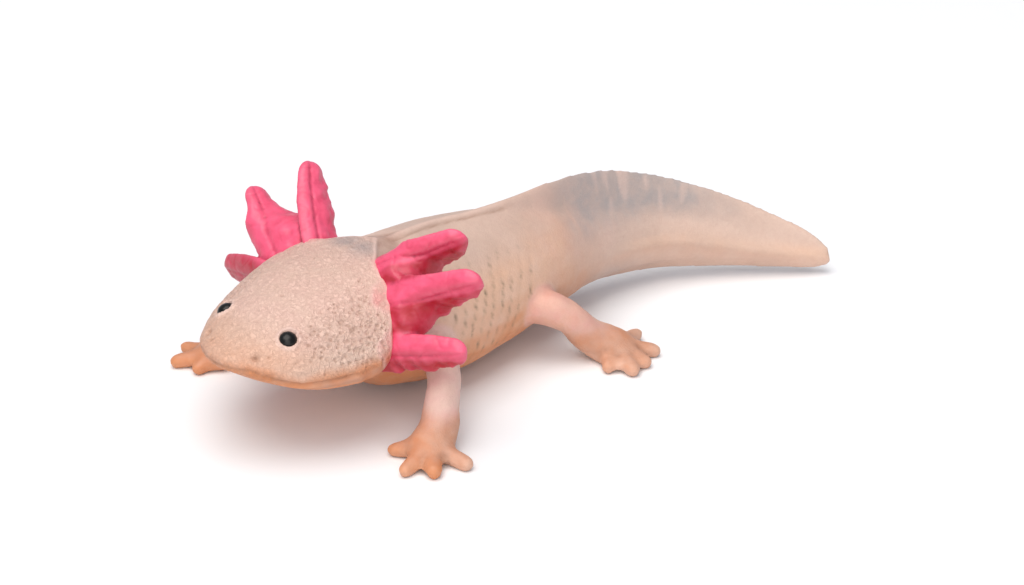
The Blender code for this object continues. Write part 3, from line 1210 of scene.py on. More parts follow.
@dataclass(frozen=True)
class EyeSeat:
    """How the skin meets an eyeball: sunk under it, with a soft rim round it.

    Attributes:
        edge: distance in mm from the eye's axis at which the seat ends.
        inner: distance within which it has its full depth.
        level: height of the seat over the eye's centre.
        rim_rise: height of the rim.
        rim_spread: its distance from the axis.
        rim_half: its half width.
        reach: distance beyond which the skin stays as it is.
        under: depth below the centre beyond which it does.
    """

    edge: float = 1.42
    inner: float = 1.25
    level: float = 0.1
    rim_rise: float = 0.14
    rim_spread: float = 1.62
    rim_half: float = 0.34
    reach: float = 3.2
    under: float = 2.5

    def press(self, places: Array, middle: Array, axis: Array) -> Array:
        """Moves the skin round one eye.

        Args:
            places: the skin's vertices.
            middle: the eye's centre.
            axis: its outward direction.

        Returns:
            The moved vertices.
        """
        offset = places - middle
        height = offset @ axis
        spread = np.linalg.norm(offset - height[:, None] * axis, axis=1)
        near = (spread < self.reach) & (height > -self.under)
        seat = ease(self.edge, self.inner, spread) * (self.level - height)
        rim = self.rim_rise * bell(spread, self.rim_spread, self.rim_half)
        return places + ((seat + rim) * near)[:, None] * axis


@dataclass(frozen=True)
class Marks:
    """What the relief tells the paint: mostly 1 in a kind of hollow and 0 outside it.

    Attributes:
        creases: the wrinkles of the head.
        pits: its pits.
        nostrils: the nostrils.
        lips: the groove of the mouth.
        hollow: the hollows between the toes.
        grooves: the folds of the flanks.
        keel: the creases beside the keel.
        over_mouth: height over the mouth line in mm.
        over_band: height over the ridge of the tail in mm.
    """

    creases: Array
    pits: Array
    nostrils: Array
    lips: Array
    hollow: Array
    grooves: Array
    keel: Array
    over_mouth: Array
    over_band: Array


# ---------------------------------------------------------------- where the paint lies


class PaintMap:
    """Where each coat of paint lies on the skin, 0 to 1 for every vertex."""

    def __init__(self, field: SkinField, marks: Marks, eyes: list[Array]) -> None:
        """Works out what several coats share.

        Args:
            field: the skin's vertices in the animal's own measure.
            marks: what the relief tells.
            eyes: the eyes' centres, in mm from the snout tip.
        """
        self.field, self.marks, self.eyes = field, marks, eyes
        self.facing_up = field.normals[:, 2]
        self.margin = head_margin(field)
        self.on_head = ease(1.0, -0.5, self.margin)
        self.soft = field.noise(3.5, 7.7)
        self.snout = ease(13.0, 1.0, field.back + 0.8 * self.soft) * ease(22.0, 17.0, field.up)
        self.foot = ease(7.4, 4.4, field.up + 0.7 * self.soft) * field.leg
        self.foot *= 0.75 + 0.25 * ease(1.5, 2.6, field.up)
        self.fin = ease(2.0, 7.0, marks.over_band)
        across = np.stack([field.station, 0.25 * field.up, 0 * field.up], 1)
        self.rays = noise_values(across, 1.6, 3.3)
        self.density = HeadSkin().pit_density(field)

    def masks(self) -> dict[str, Array]:
        """Every coat's mask, by the name that the paint reads.

        Returns:
            The masks, each from 0 to 1.
        """
        coats = (self.peach, self.tan, self.blush, self.smoke, self.brown, self.dun,
                 self.wash, self.streak, self.rim, self.spill, self.wrinkled)
        return {coat.__name__: coat() for coat in coats}

    def peach(self) -> Array:
        """Orange on the snout, the lips, the belly and the feet.

        Returns:
            One share for each vertex.
        """
        field, leg = self.field, self.field.leg
        lips = ease(2.6, -0.4, self.marks.over_mouth + 0.5 * self.soft) * self.on_head
        belly = ease(0.3, -0.55, self.facing_up) * ease(17.0, 12.0, field.up)
        belly *= (1 - leg) * ease(82.0, 60.0, field.station)
        tail = ease(0.6, -1.0, self.marks.over_band) * ease(66.0, 74.0, field.station)
        hind = leg * ease(46.0, 52.0, field.back)
        under = leg * (self.facing_up < -0.2)
        return np.maximum.reduce([0.4 * self.snout, lips, belly, 0.85 * self.foot,
                                  0.2 * tail, 0.35 * hind, 0.5 * under])

    def tan(self) -> Array:
        """Ochre on the flanks, the ridge of the tail and the lower head.

        Returns:
            One share for each vertex.
        """
        field, level = self.field, self.field.up + self.soft
        flank = (0.55 + 0.45 * ease(11.0, 5.0, level)) * ease(23.0, 17.0, level)
        flank *= ease(78.0, 62.0, field.station) * (1 - self.on_head) * (1 - field.leg)
        band = bell(self.marks.over_band, 0.4, 1.3) * ease(72.0, 84.0, field.station)
        cheek = ease(16.5, 11.5, level) * self.on_head
        return np.maximum.reduce([flank, 0.35 * band, 0.55 * cheek, 0.2 * self.snout])

    def blush(self) -> Array:
        """Pink on the crown, the limbs and the rump.

        Returns:
            One share for each vertex.
        """
        field = self.field
        crown = ease(0.35, 0.85, self.facing_up) * self.on_head * ease(3.0, 9.0, field.back)
        limb = field.leg * ease(3.2, 6.0, field.up)
        limb *= 0.75 + 0.35 * ease(-0.25, 0.3, field.noise(1.8, 9.4))
        rump = bell(field.station, 68.0, 11.0) * ease(8.0, 14.0, field.up)
        rump *= 1 - self.on_head
        return np.maximum.reduce([0.3 * crown, 0.85 * limb, 0.4 * rump])

    def smoke(self) -> Array:
        """Grey on the nape and the fin of the tail, and thinly under its ridge.

        Returns:
            One share for each vertex.
        """
        field, station = self.field, self.field.station
        gap = np.hypot(np.abs(field.left) - 1.5, field.back - 27.6)
        nape = bell(gap, 0.0, 2.6) * ease(22.0, 24.0, field.up)
        fin = self.fin * ease(62.0, 74.0, station) * ease(106.0, 92.0, station)
        fin *= 0.75 + 0.25 * ease(-0.4, 0.4, self.soft) - 0.3 * ease(0.1, 0.5, self.rays)
        below = bell(self.marks.over_band, -3.5, 1.6) * bell(station, 76.0, 10.0)
        return np.maximum.reduce([0.8 * nape, 0.95 * fin, 0.35 * below])

    def brown(self) -> Array:
        """Brown along the jaw and on the toes, and painted shade on the neck behind the head.

        Returns:
            One share for each vertex.
        """
        field, margin = self.field, self.margin
        # Painted shade on the neck, just behind the head's raised rear edge.
        neck = ease(-0.2, 0.6, margin) * ease(7.0, 3.0, margin) * ease(17.0, 20.0, field.up)
        jaw = bell(self.marks.over_mouth, -0.9, 0.7) * self.on_head
        jaw *= ease(7.0, 11.0, field.back)
        toes = self.foot * ease(1.2, 2.4, field.up)
        return np.maximum.reduce([0.95 * neck, 0.7 * jaw, 0.48 * toes])

    def dun(self) -> Array:
        """Grey-brown on the back and the tail.

        Returns:
            One share for each vertex.
        """
        field, station = self.field, self.field.station
        back = ease(33.0, 40.0, station) * ease(16.0, 21.0, field.up)
        tail = ease(60.0, 76.0, station) * ease(116.0, 104.0, station)
        return np.clip(0.7 * back + 0.55 * tail, 0, 0.8) * (1 - field.leg)

    def wash(self) -> Array:
        """Dark paint in every hollow, partly a wash and partly painted shade.

        Returns:
            One share for each vertex.
        """
        marks = self.marks
        # Painted shade and wash in the head's creases, pits, nostrils, mouth, keel crease and toe
        # hollows.
        creases = 0.12 * marks.creases * (1 + np.clip(self.density, 0, 1))
        return np.maximum.reduce([
            creases, 0.62 * marks.pits ** 1.3, 0.95 * marks.nostrils, 0.55 * marks.lips,
            0.6 * marks.keel, 0.6 * marks.hollow])

    def streak(self) -> Array:
        """Broken dark lines in the folds of the flanks."""
        return self.marks.grooves * ease(-0.45, 0.3, self.field.noise(2.4, 12.1))

    def rim(self) -> Array:
        """Pale edges: round the eyes and gills, along the keel, the nape and the rays.

        Returns:
            One share for each vertex.
        """
        field, station = self.field, self.field.station
        eyes = [0.8 * bell(field.near(eye), 1.68, 0.3) for eye in self.eyes]
        end = BackKeel().end
        keel = bell(field.side, 0.0, 0.7) * ease(33.0, 35.0, station)
        keel *= ease(end, end - 6, station) * (field.up > 20.0)
        collar = bell(field.collar, 0.35, 0.3)
        nape = bell(self.margin, -0.25, 0.35) * ease(15.0, 17.0, field.up)
        rays = self.fin * ease(0.05, 0.4, self.rays) * bell(station, 84.0, 14.0)
        return np.maximum.reduce([*eyes, 0.45 * keel, 0.6 * collar, 0.75 * nape, 0.4 * rays])

    def spill(self) -> Array:
        """Gill paint that strayed onto the collar of head skin."""
        uneven = 0.5 + 0.5 * ease(-0.4, 0.4, self.field.noise(2.6, 15.5))
        return np.minimum(self.field.collar, 0.7) * uneven

    def wrinkled(self) -> Array:
        """Where the skin has fine wrinkles: fully on the head, faintly elsewhere."""
        head = HeadSkin().share(self.field) * (0.75 + 0.5 * np.clip(self.density, 0, 0.5))
        return np.maximum(head, 0.22 * (1 - self.on_head))


# ---------------------------------------------------------------- the skin


@dataclass(frozen=True)
class BodySkin:
    """One moulded skin that stands for all of the flesh.

    Attributes:
        line: the spine's measure.
        swell: growth in mm that makes neighbouring solids run together.
        cell: edge in mm of the cells that the skin is made of.
        head_end: how far behind the snout tip the cells are halved, at head_top.
        head_lean: how far that limit moves forward for each mm under head_top.
        head_top: height of the head's top.
        head_half: half width of the halved part.
        head_floor: height over which it lies.
        cheek_run: how far behind the snout tip the cells are halved again.
        cheek_inner: distance from the midline beyond which they are.
        cheek_floor: height over which they are.
        smoothing: rounds that melt the solids' facets.
        leg_hold: how far the legs are spared from it.
        back_rounds: rounds that melt the keel into the back.
        hollow_rounds: rounds that tell a hollow from the surface round it.
        hollow_depth: how much deeper in mm the hollows between the toes are pressed.
    """

    line: BodyLine
    swell: float = 0.26
    cell: float = 0.51
    head_end: float = 31.5
    head_lean: float = 0.6
    head_top: float = 25.0
    head_half: float = 16.5
    head_floor: float = 10.5
    cheek_run: tuple[float, float] = (9.0, 22.0)
    cheek_inner: float = 6.5
    cheek_floor: float = 14.5
    smoothing: int = 19
    leg_hold: float = 0.65
    back_rounds: int = 32
    hollow_rounds: int = 18
    hollow_depth: float = 0.2

    def build(self) -> Object:
        """Makes, sculpts and paints the skin.

        Returns:
            The finished piece.
        """
        obj = self.blank()
        mesh = obj.data
        self.soften_back(mesh)
        self.refine_head(mesh)
        relax(mesh, 3)
        field = self.field(mesh)
        marks = self.sculpt(mesh, field)
        self.seat_eyes(mesh)
        self.flatten_soles(mesh)
        eyes = [middle - self.nose for middle, _ in self.eyes()]
        for name, values in PaintMap(field, marks, eyes).masks().items():
            put_attribute(mesh, name, values)
        mesh.shade_smooth()
        mesh.materials.append(SKIN_PAINT.build())
        return obj

    @property
    def nose(self) -> Array:
        """The snout tip in the frame."""
        return np.array(self.line.nose)

    def blank(self) -> Object:
        """The bare skin: the solids run together, without their facets.

        Returns:
            The object, with its skin at the solids' size.
        """
        bm = bmesh.new()
        for node in FLESH_NODES + EYE_NODES:
            add_to(bm, merged_copy(node, self.swell))
        obj = object_from("body_skin", bm)
        run_together(obj, self.cell)
        mesh = obj.data
        places = read_places(mesh)
        relax(mesh, self.smoothing, 1.0 - self.leg_hold * self.leg_share(places))
        write_places(mesh, read_places(mesh) - read_normals(mesh) * self.swell)
        return obj

    def soften_back(self, mesh: Mesh) -> None:
        """Melts the foot of the keel into the back.

        Args:
            mesh: the skin.
        """
        places = read_places(mesh)
        station, _ = self.line.locate(places - self.nose)
        share = ease(26.0, 31.0, station) * ease(66.0, 58.0, station)
        share *= ease(17.5, 19.5, places[:, 2])
        for _ in range(self.back_rounds):
            places = places + 0.5 * share[:, None] * (neighbour_mean(mesh, places) - places)
        write_places(mesh, places)

    def refine_head(self, mesh: Mesh) -> None:
        """Halves the cells of the head, and again those of its pitted cheeks.

        Args:
            mesh: the skin.
        """
        bm = bmesh.new()
        bm.from_mesh(mesh)
        middle, start, _ = self.line.nose
        rear = start + self.head_end
        edges = [
            e for e in bm.edges
            if max(v.co.y for v in e.verts)
            < rear * MM - self.head_lean * (self.head_top * MM - e.verts[0].co.z)
            and abs(e.verts[0].co.x - middle * MM) < self.head_half * MM
            and min(v.co.z for v in e.verts) > self.head_floor * MM
        ]
        bmesh.ops.subdivide_edges(bm, edges=edges, cuts=1, use_grid_fill=True)
        front, back = ((start + run) * MM for run in self.cheek_run)
        edges = [
            e for e in bm.edges
            if front < e.verts[0].co.y < back
            and e.verts[0].co.z > self.cheek_floor * MM
            and abs(e.verts[0].co.x - middle * MM) > self.cheek_inner * MM
        ]
        bmesh.ops.subdivide_edges(bm, edges=edges, cuts=1, use_grid_fill=True)
        bm.to_mesh(mesh)
        bm.free()

    def leg_share(self, places: Array) -> Array:
        """1 on the legs, 0 elsewhere."""
        shares = [node_share(node, places, 0.45, 1.3) for node in LEG_NODES]
        return np.max(shares, axis=0)

    def field(self, mesh: Mesh) -> SkinField:
        """The skin's vertices in the animal's own measure.

        Args:
            mesh: the skin.

        Returns:
            The measures of every vertex.
        """
        frame_places = read_places(mesh)
        places = frame_places - self.nose
        station, side = self.line.locate(places)
        ahead = ease(2.0, -0.5, places[:, 1] - curve_value(HEAD_EDGE, places[:, 2]))
        collar = GillCollar().near(frame_places) * ahead
        return SkinField(places, read_normals(mesh), station, side,
                         self.leg_share(frame_places), collar)

    def sculpt(self, mesh: Mesh, field: SkinField) -> Marks:
        """Presses all relief into the skin.

        Args:
            mesh: the skin.
            field: its vertices in the animal's own measure.

        Returns:
            What the relief tells the paint.
        """
        mouth, head, nostrils = MouthLine(), HeadSkin(), Nostrils()
        flank, keel, tail = FlankFolds(), BackKeel(), TailBand()
        raised = (mouth, NapeFold(), nostrils, flank, keel, tail, SoftLumps())
        wrinkled = head.share(field)
        creases, pits = head.creases(field) * wrinkled, head.pits(field) * wrinkled
        hollow = np.clip(hollowness(mesh, self.hollow_rounds) / 0.14 - 0.1, 0, 1)
        hollow *= field.leg * ease(6.0, 4.0, field.up)
        relief = sum(form.height(field) for form in raised)
        relief += GillCollar().rise * field.collar ** 2
        relief -= head.crease_depth * creases + head.pit_depth * pits
        relief -= self.hollow_depth * hollow
        write_places(mesh, read_places(mesh) + field.normals * relief[:, None])
        over = mouth.above(field)
        lips = bell(over, 0.0, 0.28) * ease(18.0, 17.0, field.back)
        return Marks(creases, pits, nostrils.hollow(field), lips, hollow,
                     flank.grooves(field), keel.crease(field), over, tail.over(field))

    def eyes(self) -> list[tuple[Array, Array]]:
        """(centre in the frame, outward direction) of each eye.

        Returns:
            The pairs, the left eye's first.
        """
        found = []
        for node, side in zip(EYE_NODES, Side):
            low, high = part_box(node)
            found.append((np.array((low + high) / 2) / MM, np.array(eye_direction(side))))
        return found

    def seat_eyes(self, mesh: Mesh) -> None:
        """Sinks the skin under each eyeball and raises a soft rim round it.

        Args:
            mesh: the skin.
        """
        places = read_places(mesh)
        for middle, axis in self.eyes():
            places = EyeSeat().press(places, middle, axis)
        write_places(mesh, places)

    def flatten_soles(self, mesh: Mesh) -> None:
        """Keeps every sole flat on the floor.

        Args:
            mesh: the skin.
        """
        places = read_places(mesh)
        places[:, 2] = np.maximum(places[:, 2], 0.0)
        write_places(mesh, places)


# ---------------------------------------------------------------- gills


@dataclass(frozen=True)
class GillJoin:
    """Where a blade is one with the ridge of its neighbour.

    Attributes:
        level: the neighbour's place in the fan, 0 for the uppermost.
        grown: share of the length up to which the blade reaches the neighbour.
        free: share of the length from which it hangs free.
        pace: share along the neighbour for a share along this gill.
    """

    level: int
    grown: float
    free: float
    pace: float


@dataclass(frozen=True)
class GillLobe:
    """One gill: a thick ridge with a crumpled blade that hangs from it.

    Points and directions are in mm from the snout tip, as they are on that side.

    Attributes:
        root: where the ridge leaves the head.
        tip: the end of the ridge.
        bow: how far the middle of the ridge is bent off the straight.
        hang: direction in which the free blade hangs.
        width: height of the lobe at its widest.
        seam: where the ridge ends and the blade begins, as a share of the width.
        join: where the blade is one with a neighbour, if it is.
        phase: shifts the folds and the notches of the edge.
    """

    root: Point
    tip: Point
    bow: Point
    hang: Point
    width: float
    seam: float
    join: GillJoin | None
    phase: float

    def axis(self) -> Vector:
        """Direction from the root to the tip."""
        return (Vector(self.tip) - Vector(self.root)).normalized()

    def down(self) -> Vector:
        """The hang, square to the axis."""
        hang, axis = Vector(self.hang), self.axis()
        return (hang - axis * axis.dot(hang)).normalized()

    def at(self, share: float) -> Vector:
        """The point of the ridge at a share of the way from the root to the tip."""
        bend = Vector(self.bow) * (4 * max(share, 0.0) * (1 - share))
        return Vector(self.root).lerp(Vector(self.tip), share) + bend


GILL_LOBES = {
    Side.LEFT: (
        GillLobe((5.6, 26.8, 23.7), (16.9, 33.5, 30.8), (0.0, 0.0, 0.2),
                 (0.28, 0.54, -0.79), 6.8, 0.04, GillJoin(1, 0.18, 0.58, 1.03), 0.4),
        GillLobe((9.7, 23.9, 21.1), (24.0, 29.5, 27.8), (0.0, 0.0, 0.2),
                 (0.34, 0.40, -0.85), 6.6, 0.16, GillJoin(2, 0.16, 0.52, 1.26), 1.9),
        GillLobe((13.2, 21.2, 15.7), (25.5, 25.2, 18.3), (0.0, 0.0, 0.2),
                 (0.21, 0.18, -0.96), 5.6, 0.18, None, 3.1),
    ),
    Side.RIGHT: (
        GillLobe((-5.8, 24.9, 21.8), (-16.6, 33.2, 31.8), (-0.6, -0.4, 0.2),
                 (0.34, 0.86, -0.36), 6.4, 0.10, None, 1.2),
        GillLobe((-10.0, 22.6, 18.3), (-24.5, 28.5, 26.3), (-0.3, -0.3, 0.2),
                 (0.31, 0.94, -0.16), 6.4, 0.10, GillJoin(0, 0.42, 0.78, 0.76), 2.3),
        GillLobe((-11.2, 21.1, 18.8), (-25.3, 23.9, 15.0), (0.0, 0.0, 0.3),
                 (0.1, 0.4, -0.9), 6.8, 0.10, None, 0.7),
    ),
}


@dataclass(frozen=True)
class GillFan:
    """The three gills of one side, moulded as one feathered fan.

    Attributes:
        side: which side of the animal.
        nose: the snout tip in the frame, in mm.
        cell: edge in mm of the cells that the fan is made of.
        ridge_half: half thickness in mm of a ridge.
        taper: (share of the length, share of the width), past the root.
        thinning: (share of the length, share of the thickness).
        reach: the section's two edges, as shares of the width from the ridge's line.
        ridge_section: (share of the way to the seam, share of the thickness).
        blade_section: (share of the way from the seam, share of the thickness).
        tip_start: share of the length from which the tip is rounded.
        buried: length in mm of a lobe under the skin.
        tilt: how far the ridge leans back from the blade.
        notches: (share of the width, number along a lobe, shift) of the edge's waves.
        crumple: swing in mm of the blade's folds.
        fold_relief: depth in mm of the small folds on a ridge, and what a blade adds.
        crease_depth: depth in mm of the tool marks.
        grain: height in mm of the finest lumps.
        ridge_reach: distances in mm from a ridge's line where it gives way to the blade.
    """

    side: Side
    nose: Point
    cell: float = 0.2
    ridge_half: float = 1.7
    taper: Curve = (
        (0.0, 1.1), (0.55, 1.0), (0.86, 0.74), (1.0, 0.60))
    thinning: Curve = (
        (0.0, 0.8), (0.2, 0.98), (0.5, 1.0), (1.0, 0.72))
    reach: tuple[float, float] = (-0.25, 0.75)
    ridge_section: Curve = (
        (0.0, 0.62), (0.3, 0.92), (0.65, 0.97), (0.88, 0.90), (1.0, 0.70))
    blade_section: Curve = (
        (0.0, 0.70), (0.10, 0.84), (0.45, 0.82), (0.75, 0.62), (1.0, 0.42))
    tip_start: float = 0.86
    buried: float = 3.0
    tilt: float = 0.22
    notches: tuple[Point, ...] = ((0.11, 7.0, 0.0), (0.09, 17.0, 0.5))
    crumple: float = 0.55
    fold_relief: tuple[float, float] = (0.07, 0.15)
    crease_depth: float = 0.05
    grain: float = 0.04
    ridge_reach: tuple[float, float] = (1.7, 2.5)

    def build(self) -> Object:
        """Makes and paints the fan.

        Returns:
            The finished piece.
        """
        lobes = GILL_LOBES[self.side]
        bm = bmesh.new()
        for lobe in lobes:
            add_to(bm, self.lobe_shape(lobe))
        for upper, lower in zip(lobes, lobes[1:]):
            self.add_root(bm, upper, lower)
        obj = object_from("gill_fan_" + self.side.label, bm)
        run_together(obj, self.cell)
        mesh = obj.data
        relax(mesh, 3)
        blade = self.blade_share(read_places(mesh) - np.array(self.nose))
        self.sculpt(mesh, blade)
        self.paint(mesh, blade)
        mesh.shade_smooth()
        return obj

    def add_root(self, bm: BMesh, upper: GillLobe, lower: GillLobe) -> None:
        """Adds the buried pad that joins two roots.

        Args:
            bm: the fan so far.
            upper: a lobe.
            lower: the lobe under it.
        """
        middle = (upper.at(-0.22) + lower.at(-0.22)) / 2
        reach = (Vector(upper.root) - Vector(lower.root)).length * 0.45
        made = bmesh.ops.create_icosphere(bm, subdivisions=4, radius=reach * MM)
        bmesh.ops.translate(bm, verts=made["verts"], vec=(Vector(self.nose) + middle) * MM)

    def span(self, lobe: GillLobe, along: float) -> Vector:
        """One width of a lobe, in mm, from its ridge towards the blade's edge.

        Args:
            lobe: the lobe.
            along: share of the length from root to tip.

        Returns:
            The vector, which swings from the neighbour's ridge to the lobe's own hang.
        """
        free = lobe.down() * float(lobe.width * curve_value(self.taper, along))
        if lobe.join is None:
            return free
        other = GILL_LOBES[self.side][lobe.join.level]
        tied = (other.at(along * lobe.join.pace) - lobe.at(along)) / self.reach[1]
        share = float(ease(lobe.join.grown, lobe.join.free, along))
        turned = tied.normalized().slerp(free.normalized(), share)
        return turned * (tied.length + (free.length - tied.length) * share)

    def lobe_shape(self, lobe: GillLobe) -> BMesh:
        """One lobe: ridge, seam and blade, from a globe with its poles at root and tip.

        Args:
            lobe: the lobe.

        Returns:
            Its closed shell in the frame.
        """
        axis = lobe.axis()
        length = (Vector(lobe.tip) - Vector(lobe.root)).length
        under = self.buried / length
        nose = Vector(self.nose)
        bm = bmesh.new()
        bmesh.ops.create_uvsphere(bm, u_segments=72, v_segments=110, radius=1.0)
        for vert in bm.verts:
            share = math.acos(max(-1.0, min(1.0, -vert.co.z))) / math.pi
            turn = math.atan2(vert.co.y, vert.co.x)
            along = share * (1 + under) - under
            span = self.span(lobe, max(along, 0.0))
            face = axis.cross(span.normalized()) * self.side.value
            across, lift = self.place_on(lobe, max(along, 0.0), share, turn)
            place = lobe.at(along) + span * across + face * lift
            vert.co = (nose + place) * MM
        bmesh.ops.recalc_face_normals(bm, faces=bm.faces)
        return bm

    def thickness(self, lobe: GillLobe, across: float) -> float:
        """Share of the ridge's thickness at a share of the width.

        Args:
            lobe: the lobe.
            across: share of the width from the ridge's line.

        Returns:
            The share.
        """
        low, high = self.reach
        if across < lobe.seam:
            return float(curve_value(self.ridge_section, (across - low) / (lobe.seam - low)))
        return float(curve_value(self.blade_section, (across - lobe.seam) / (high - lobe.seam)))

    def place_on(self, lobe: GillLobe, along: float, share: float,
                 turn: float) -> tuple[float, float]:
        """Place across a lobe and out of its blade.

        Args:
            lobe: the lobe.
            along: share of the length from root to tip.
            share: the same, from the buried end.
            turn: angle round the section.

        Returns:
            The share of the width from the ridge's line, and the offset out of the
            blade in mm.
        """
        low, high = self.reach
        middle = (low + high) / 2
        thick = self.ridge_half * float(curve_value(self.thinning, along))
        rounded = min(1.0, share / 0.03)
        if along > self.tip_start:
            past = (along - self.tip_start) / (1 - self.tip_start)
            rounded = math.sqrt(max(0.0, 1 - past ** 2))
        across = middle + (high - low) / 2 * math.cos(turn)
        edge = max(0.0, across) / high
        notch = sum(depth * noise.noise(Vector((along * number, shift, lobe.phase)))
                    for depth, number, shift in self.notches)
        reach = (middle + (across - middle) * rounded) * (1 + edge ** 4 * notch)
        lift = math.sin(turn) * self.thickness(lobe, across) * thick * rounded
        slant = along * 10 - edge * 1.4
        fold = noise.noise(Vector((slant, edge * 0.7, lobe.phase)))
        lift += self.crumple * edge * rounded * fold
        lift += self.tilt * lobe.width * max(0.0, lobe.seam - across) * rounded
        return reach, lift

    def blade_share(self, local: Array) -> Array:
        """1 on the blades, 0 on the ridges.

        Args:
            local: places in mm from the snout tip.

        Returns:
            One share for each place.
        """
        gap = np.full(len(local), 9.0)
        for lobe in GILL_LOBES[self.side]:
            lift = lobe.down() * (lobe.width * (lobe.seam - 0.12))
            for step in range(25):
                middle = np.array(lobe.at(step / 24) + lift)
                gap = np.minimum(gap, np.linalg.norm(local - middle, axis=1))
        return ease(*self.ridge_reach, gap)

    def paint(self, mesh: Mesh, blade: Array) -> None:
        """Stores where each coat of paint lies, painted shade and highlight among them.

        Args:
            mesh: the fan.
            blade: 1 on the blades, 0 on the ridges.
        """
        deep = hollowness(mesh, 12)
        cloud = 0.35 * noise_values(read_places(mesh), 2.4, 4.1)
        # Painted shade: deep crimson where the surface faces down, on the left fan's blades and
        # low on the right fan.
        downward_shade = ease(0.72, 0.02, read_normals(mesh)[:, 2] + cloud)
        if self.side is Side.LEFT:
            shade = 0.5 * downward_shade + 0.75 * blade
        else:
            shade = 0.35 * downward_shade + 0.75 * ease(20.5, 18.5, read_places(mesh)[:, 2])
        # Painted shade in the hollows of the folds.
        put_attribute(mesh, "fold", np.clip(deep / 0.14 - 0.1, 0, 1))
        # Painted highlight: pale pink on the raised parts.
        put_attribute(mesh, "ridge", np.clip(-deep / 0.22, 0, 1))
        put_attribute(mesh, "shade", shade)
        mesh.materials.append(GILL_PAINT.build())

    def sculpt(self, mesh: Mesh, blade: Array) -> None:
        """Presses folds and a few tool marks into the fan.

        Args:
            mesh: the fan.
            blade: 1 on the blades, 0 on the ridges.
        """
        places = read_places(mesh)
        local = places - np.array(self.nose)
        folds = noise_values(local, 1.9, 5.1)
        creases = np.exp(-(noise_values(local, 2.6, 1.9) / 0.08) ** 2)
        fine = noise_values(local, 0.8, 8.2)
        ridge, more = self.fold_relief
        relief = (ridge + more * blade) * folds - self.crease_depth * creases
        relief += self.grain * fine
        write_places(mesh, places + read_normals(mesh) * relief[:, None])


# ---------------------------------------------------------------- eyes


@dataclass(frozen=True)
class EyeDome:
    """A black gloss eyeball, moulded with the head and painted over.

    Attributes:
        node: the eye's solid.
        side: which side of the animal.
        flat: how far it is pressed flat along its axis, as a share of its radius.
    """

    node: str
    side: Side
    flat: float = 0.78

    def build(self) -> Object:
        """Makes and paints the eye at the place of its solid, pressed a little flat.

        Returns:
            The finished piece.
        """
        low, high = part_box(self.node)
        out = eye_direction(self.side)
        bm = bmesh.new()
        bmesh.ops.create_uvsphere(bm, u_segments=48, v_segments=32,
                                  radius=(high.x - low.x) / 2)
        for vert in bm.verts:
            vert.co -= out * (vert.co.dot(out) * (1 - self.flat))
        bmesh.ops.translate(bm, verts=bm.verts, vec=(low + high) / 2)
        obj = object_from(self.node + "_dome", bm)
        obj.data.shade_smooth()
        obj.data.materials.append(EYE_PAINT.build())
        return obj


# ---------------------------------------------------------------- studio


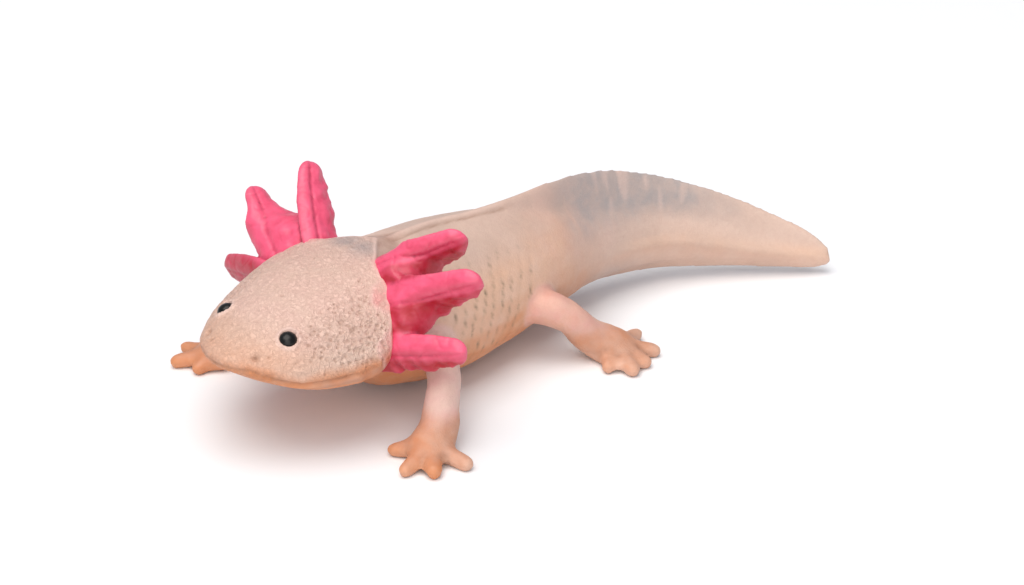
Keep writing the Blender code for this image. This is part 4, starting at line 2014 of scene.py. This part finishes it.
@dataclass(frozen=True)
class Studio:
    """A pale floor, soft light from above and a camera with a long lens.

    Attributes:
        nose: the snout tip in the frame, in mm, at floor level.
        aim: the point looked at, in mm from the snout tip.
        azimuth: turn of the camera from straight ahead of the animal, in degrees.
        elevation: its height over the floor, in degrees.
        distance: from the aim to the camera, in mm.
        lens: focal length in mm.
        floor_size: edge of the floor in metres.
        card: colour of the floor.
        lamp: colour of the lamps.
        sky: colour of the room's own light.
        sky_strength: its strength.
    """

    nose: Point
    aim: Point = (6.85, 54.07, 10.0)
    azimuth: float = 44.0
    elevation: float = 27.0
    distance: float = 520.0
    lens: float = 118.83
    floor_size: float = 6.0
    card: str = "#f1f6fa"
    lamp: str = "#fff6ee"
    sky: str = "#eaf0ff"
    sky_strength: float = 0.37

    def camera(self) -> None:
        """Sets up the scene's camera."""
        turn, lift = math.radians(self.azimuth), math.radians(self.elevation)
        back = Vector((math.sin(turn) * math.cos(lift), -math.cos(turn) * math.cos(lift),
                       math.sin(lift)))
        data = bpy.data.cameras.new("camera")
        data.lens = self.lens
        data.sensor_width = 36.0
        data.clip_start = 0.01
        obj = bpy.data.objects.new("camera", data)
        bpy.context.scene.collection.objects.link(obj)
        obj.location = (Vector(self.nose) + Vector(self.aim) + back * self.distance) * MM
        obj.rotation_euler = back.to_track_quat("Z", "Y").to_euler()
        bpy.context.scene.camera = obj

    def floor(self) -> None:
        """Lays a wide plain floor of matt white card."""
        bm = bmesh.new()
        bmesh.ops.create_grid(bm, x_segments=1, y_segments=1, size=self.floor_size / 2)
        obj = object_from("studio_floor", bm)
        material = bpy.data.materials.new("matt_white_card")
        material.use_nodes = True
        feed(material.node_tree.nodes["Principled BSDF"], {
            "Base Color": linear(self.card), "Roughness": 0.9, "Specular IOR Level": 0.1})
        obj.data.materials.append(material)

    def light(self, name: str, place: Point, size: float, power: float) -> None:
        """Hangs a square soft light aimed at the figure.

        Args:
            name: its name.
            place: where it hangs, in metres.
            size: edge in metres.
            power: watts.
        """
        data = bpy.data.lights.new(name, "AREA")
        data.shape = "SQUARE"
        data.size = size
        data.energy = power
        data.color = linear(self.lamp)[:3]
        obj = bpy.data.objects.new(name, data)
        bpy.context.scene.collection.objects.link(obj)
        obj.location = place
        obj.rotation_euler = Vector(place).to_track_quat("Z", "Y").to_euler()

    def build(self) -> None:
        """Sets up floor, lights, sky and camera."""
        self.floor()
        self.light("top_softbox", (0.0, -0.3, 1.25), size=1.2, power=16.2)
        self.light("front_fill", (0.95, -1.0, 0.7), size=1.5, power=12.0)
        world = bpy.data.worlds.new("studio_room")
        bpy.context.scene.world = world
        world.use_nodes = True
        feed(world.node_tree.nodes["Background"], {
            "Color": linear(self.sky), "Strength": self.sky_strength})
        bpy.context.scene.view_settings.view_transform = "Standard"
        self.camera()


# ---------------------------------------------------------------- assembly


def snout_tip() -> Point:
    """The snout tip at floor level, in mm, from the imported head.

    Returns:
        Its place in the frame.
    """
    low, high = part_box("head")
    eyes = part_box("eye_left")[1].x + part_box("eye_right")[0].x
    return eyes / 2 / MM, low.y / MM, 0.0


def main() -> None:
    """Builds the figure and its studio."""
    logging.basicConfig(level=logging.INFO, format="%(name)s: %(message)s")
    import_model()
    nose = snout_tip()
    line = BodyLine(nose)

    skin = BodySkin(line).build()
    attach(skin, "root")
    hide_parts(*FLESH_NODES)
    LOG.info("body_skin: %d faces", len(skin.data.polygons))

    for side in Side:
        fan = GillFan(side, nose).build()
        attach(fan, "root")
        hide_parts(*("gill_%s_%s" % (side.label, level)
                           for level in ("upper", "middle", "lower")))
        LOG.info("%s: %d faces", fan.name, len(fan.data.polygons))

    for node, side in zip(EYE_NODES, Side):
        dome = EyeDome(node, side).build()
        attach(dome, "root")
        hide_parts(node)
        LOG.info("%s: %d faces", dome.name, len(dome.data.polygons))

    Studio(nose).build()
    LOG.info("sizes written")


if __name__ == "__main__":
    main()
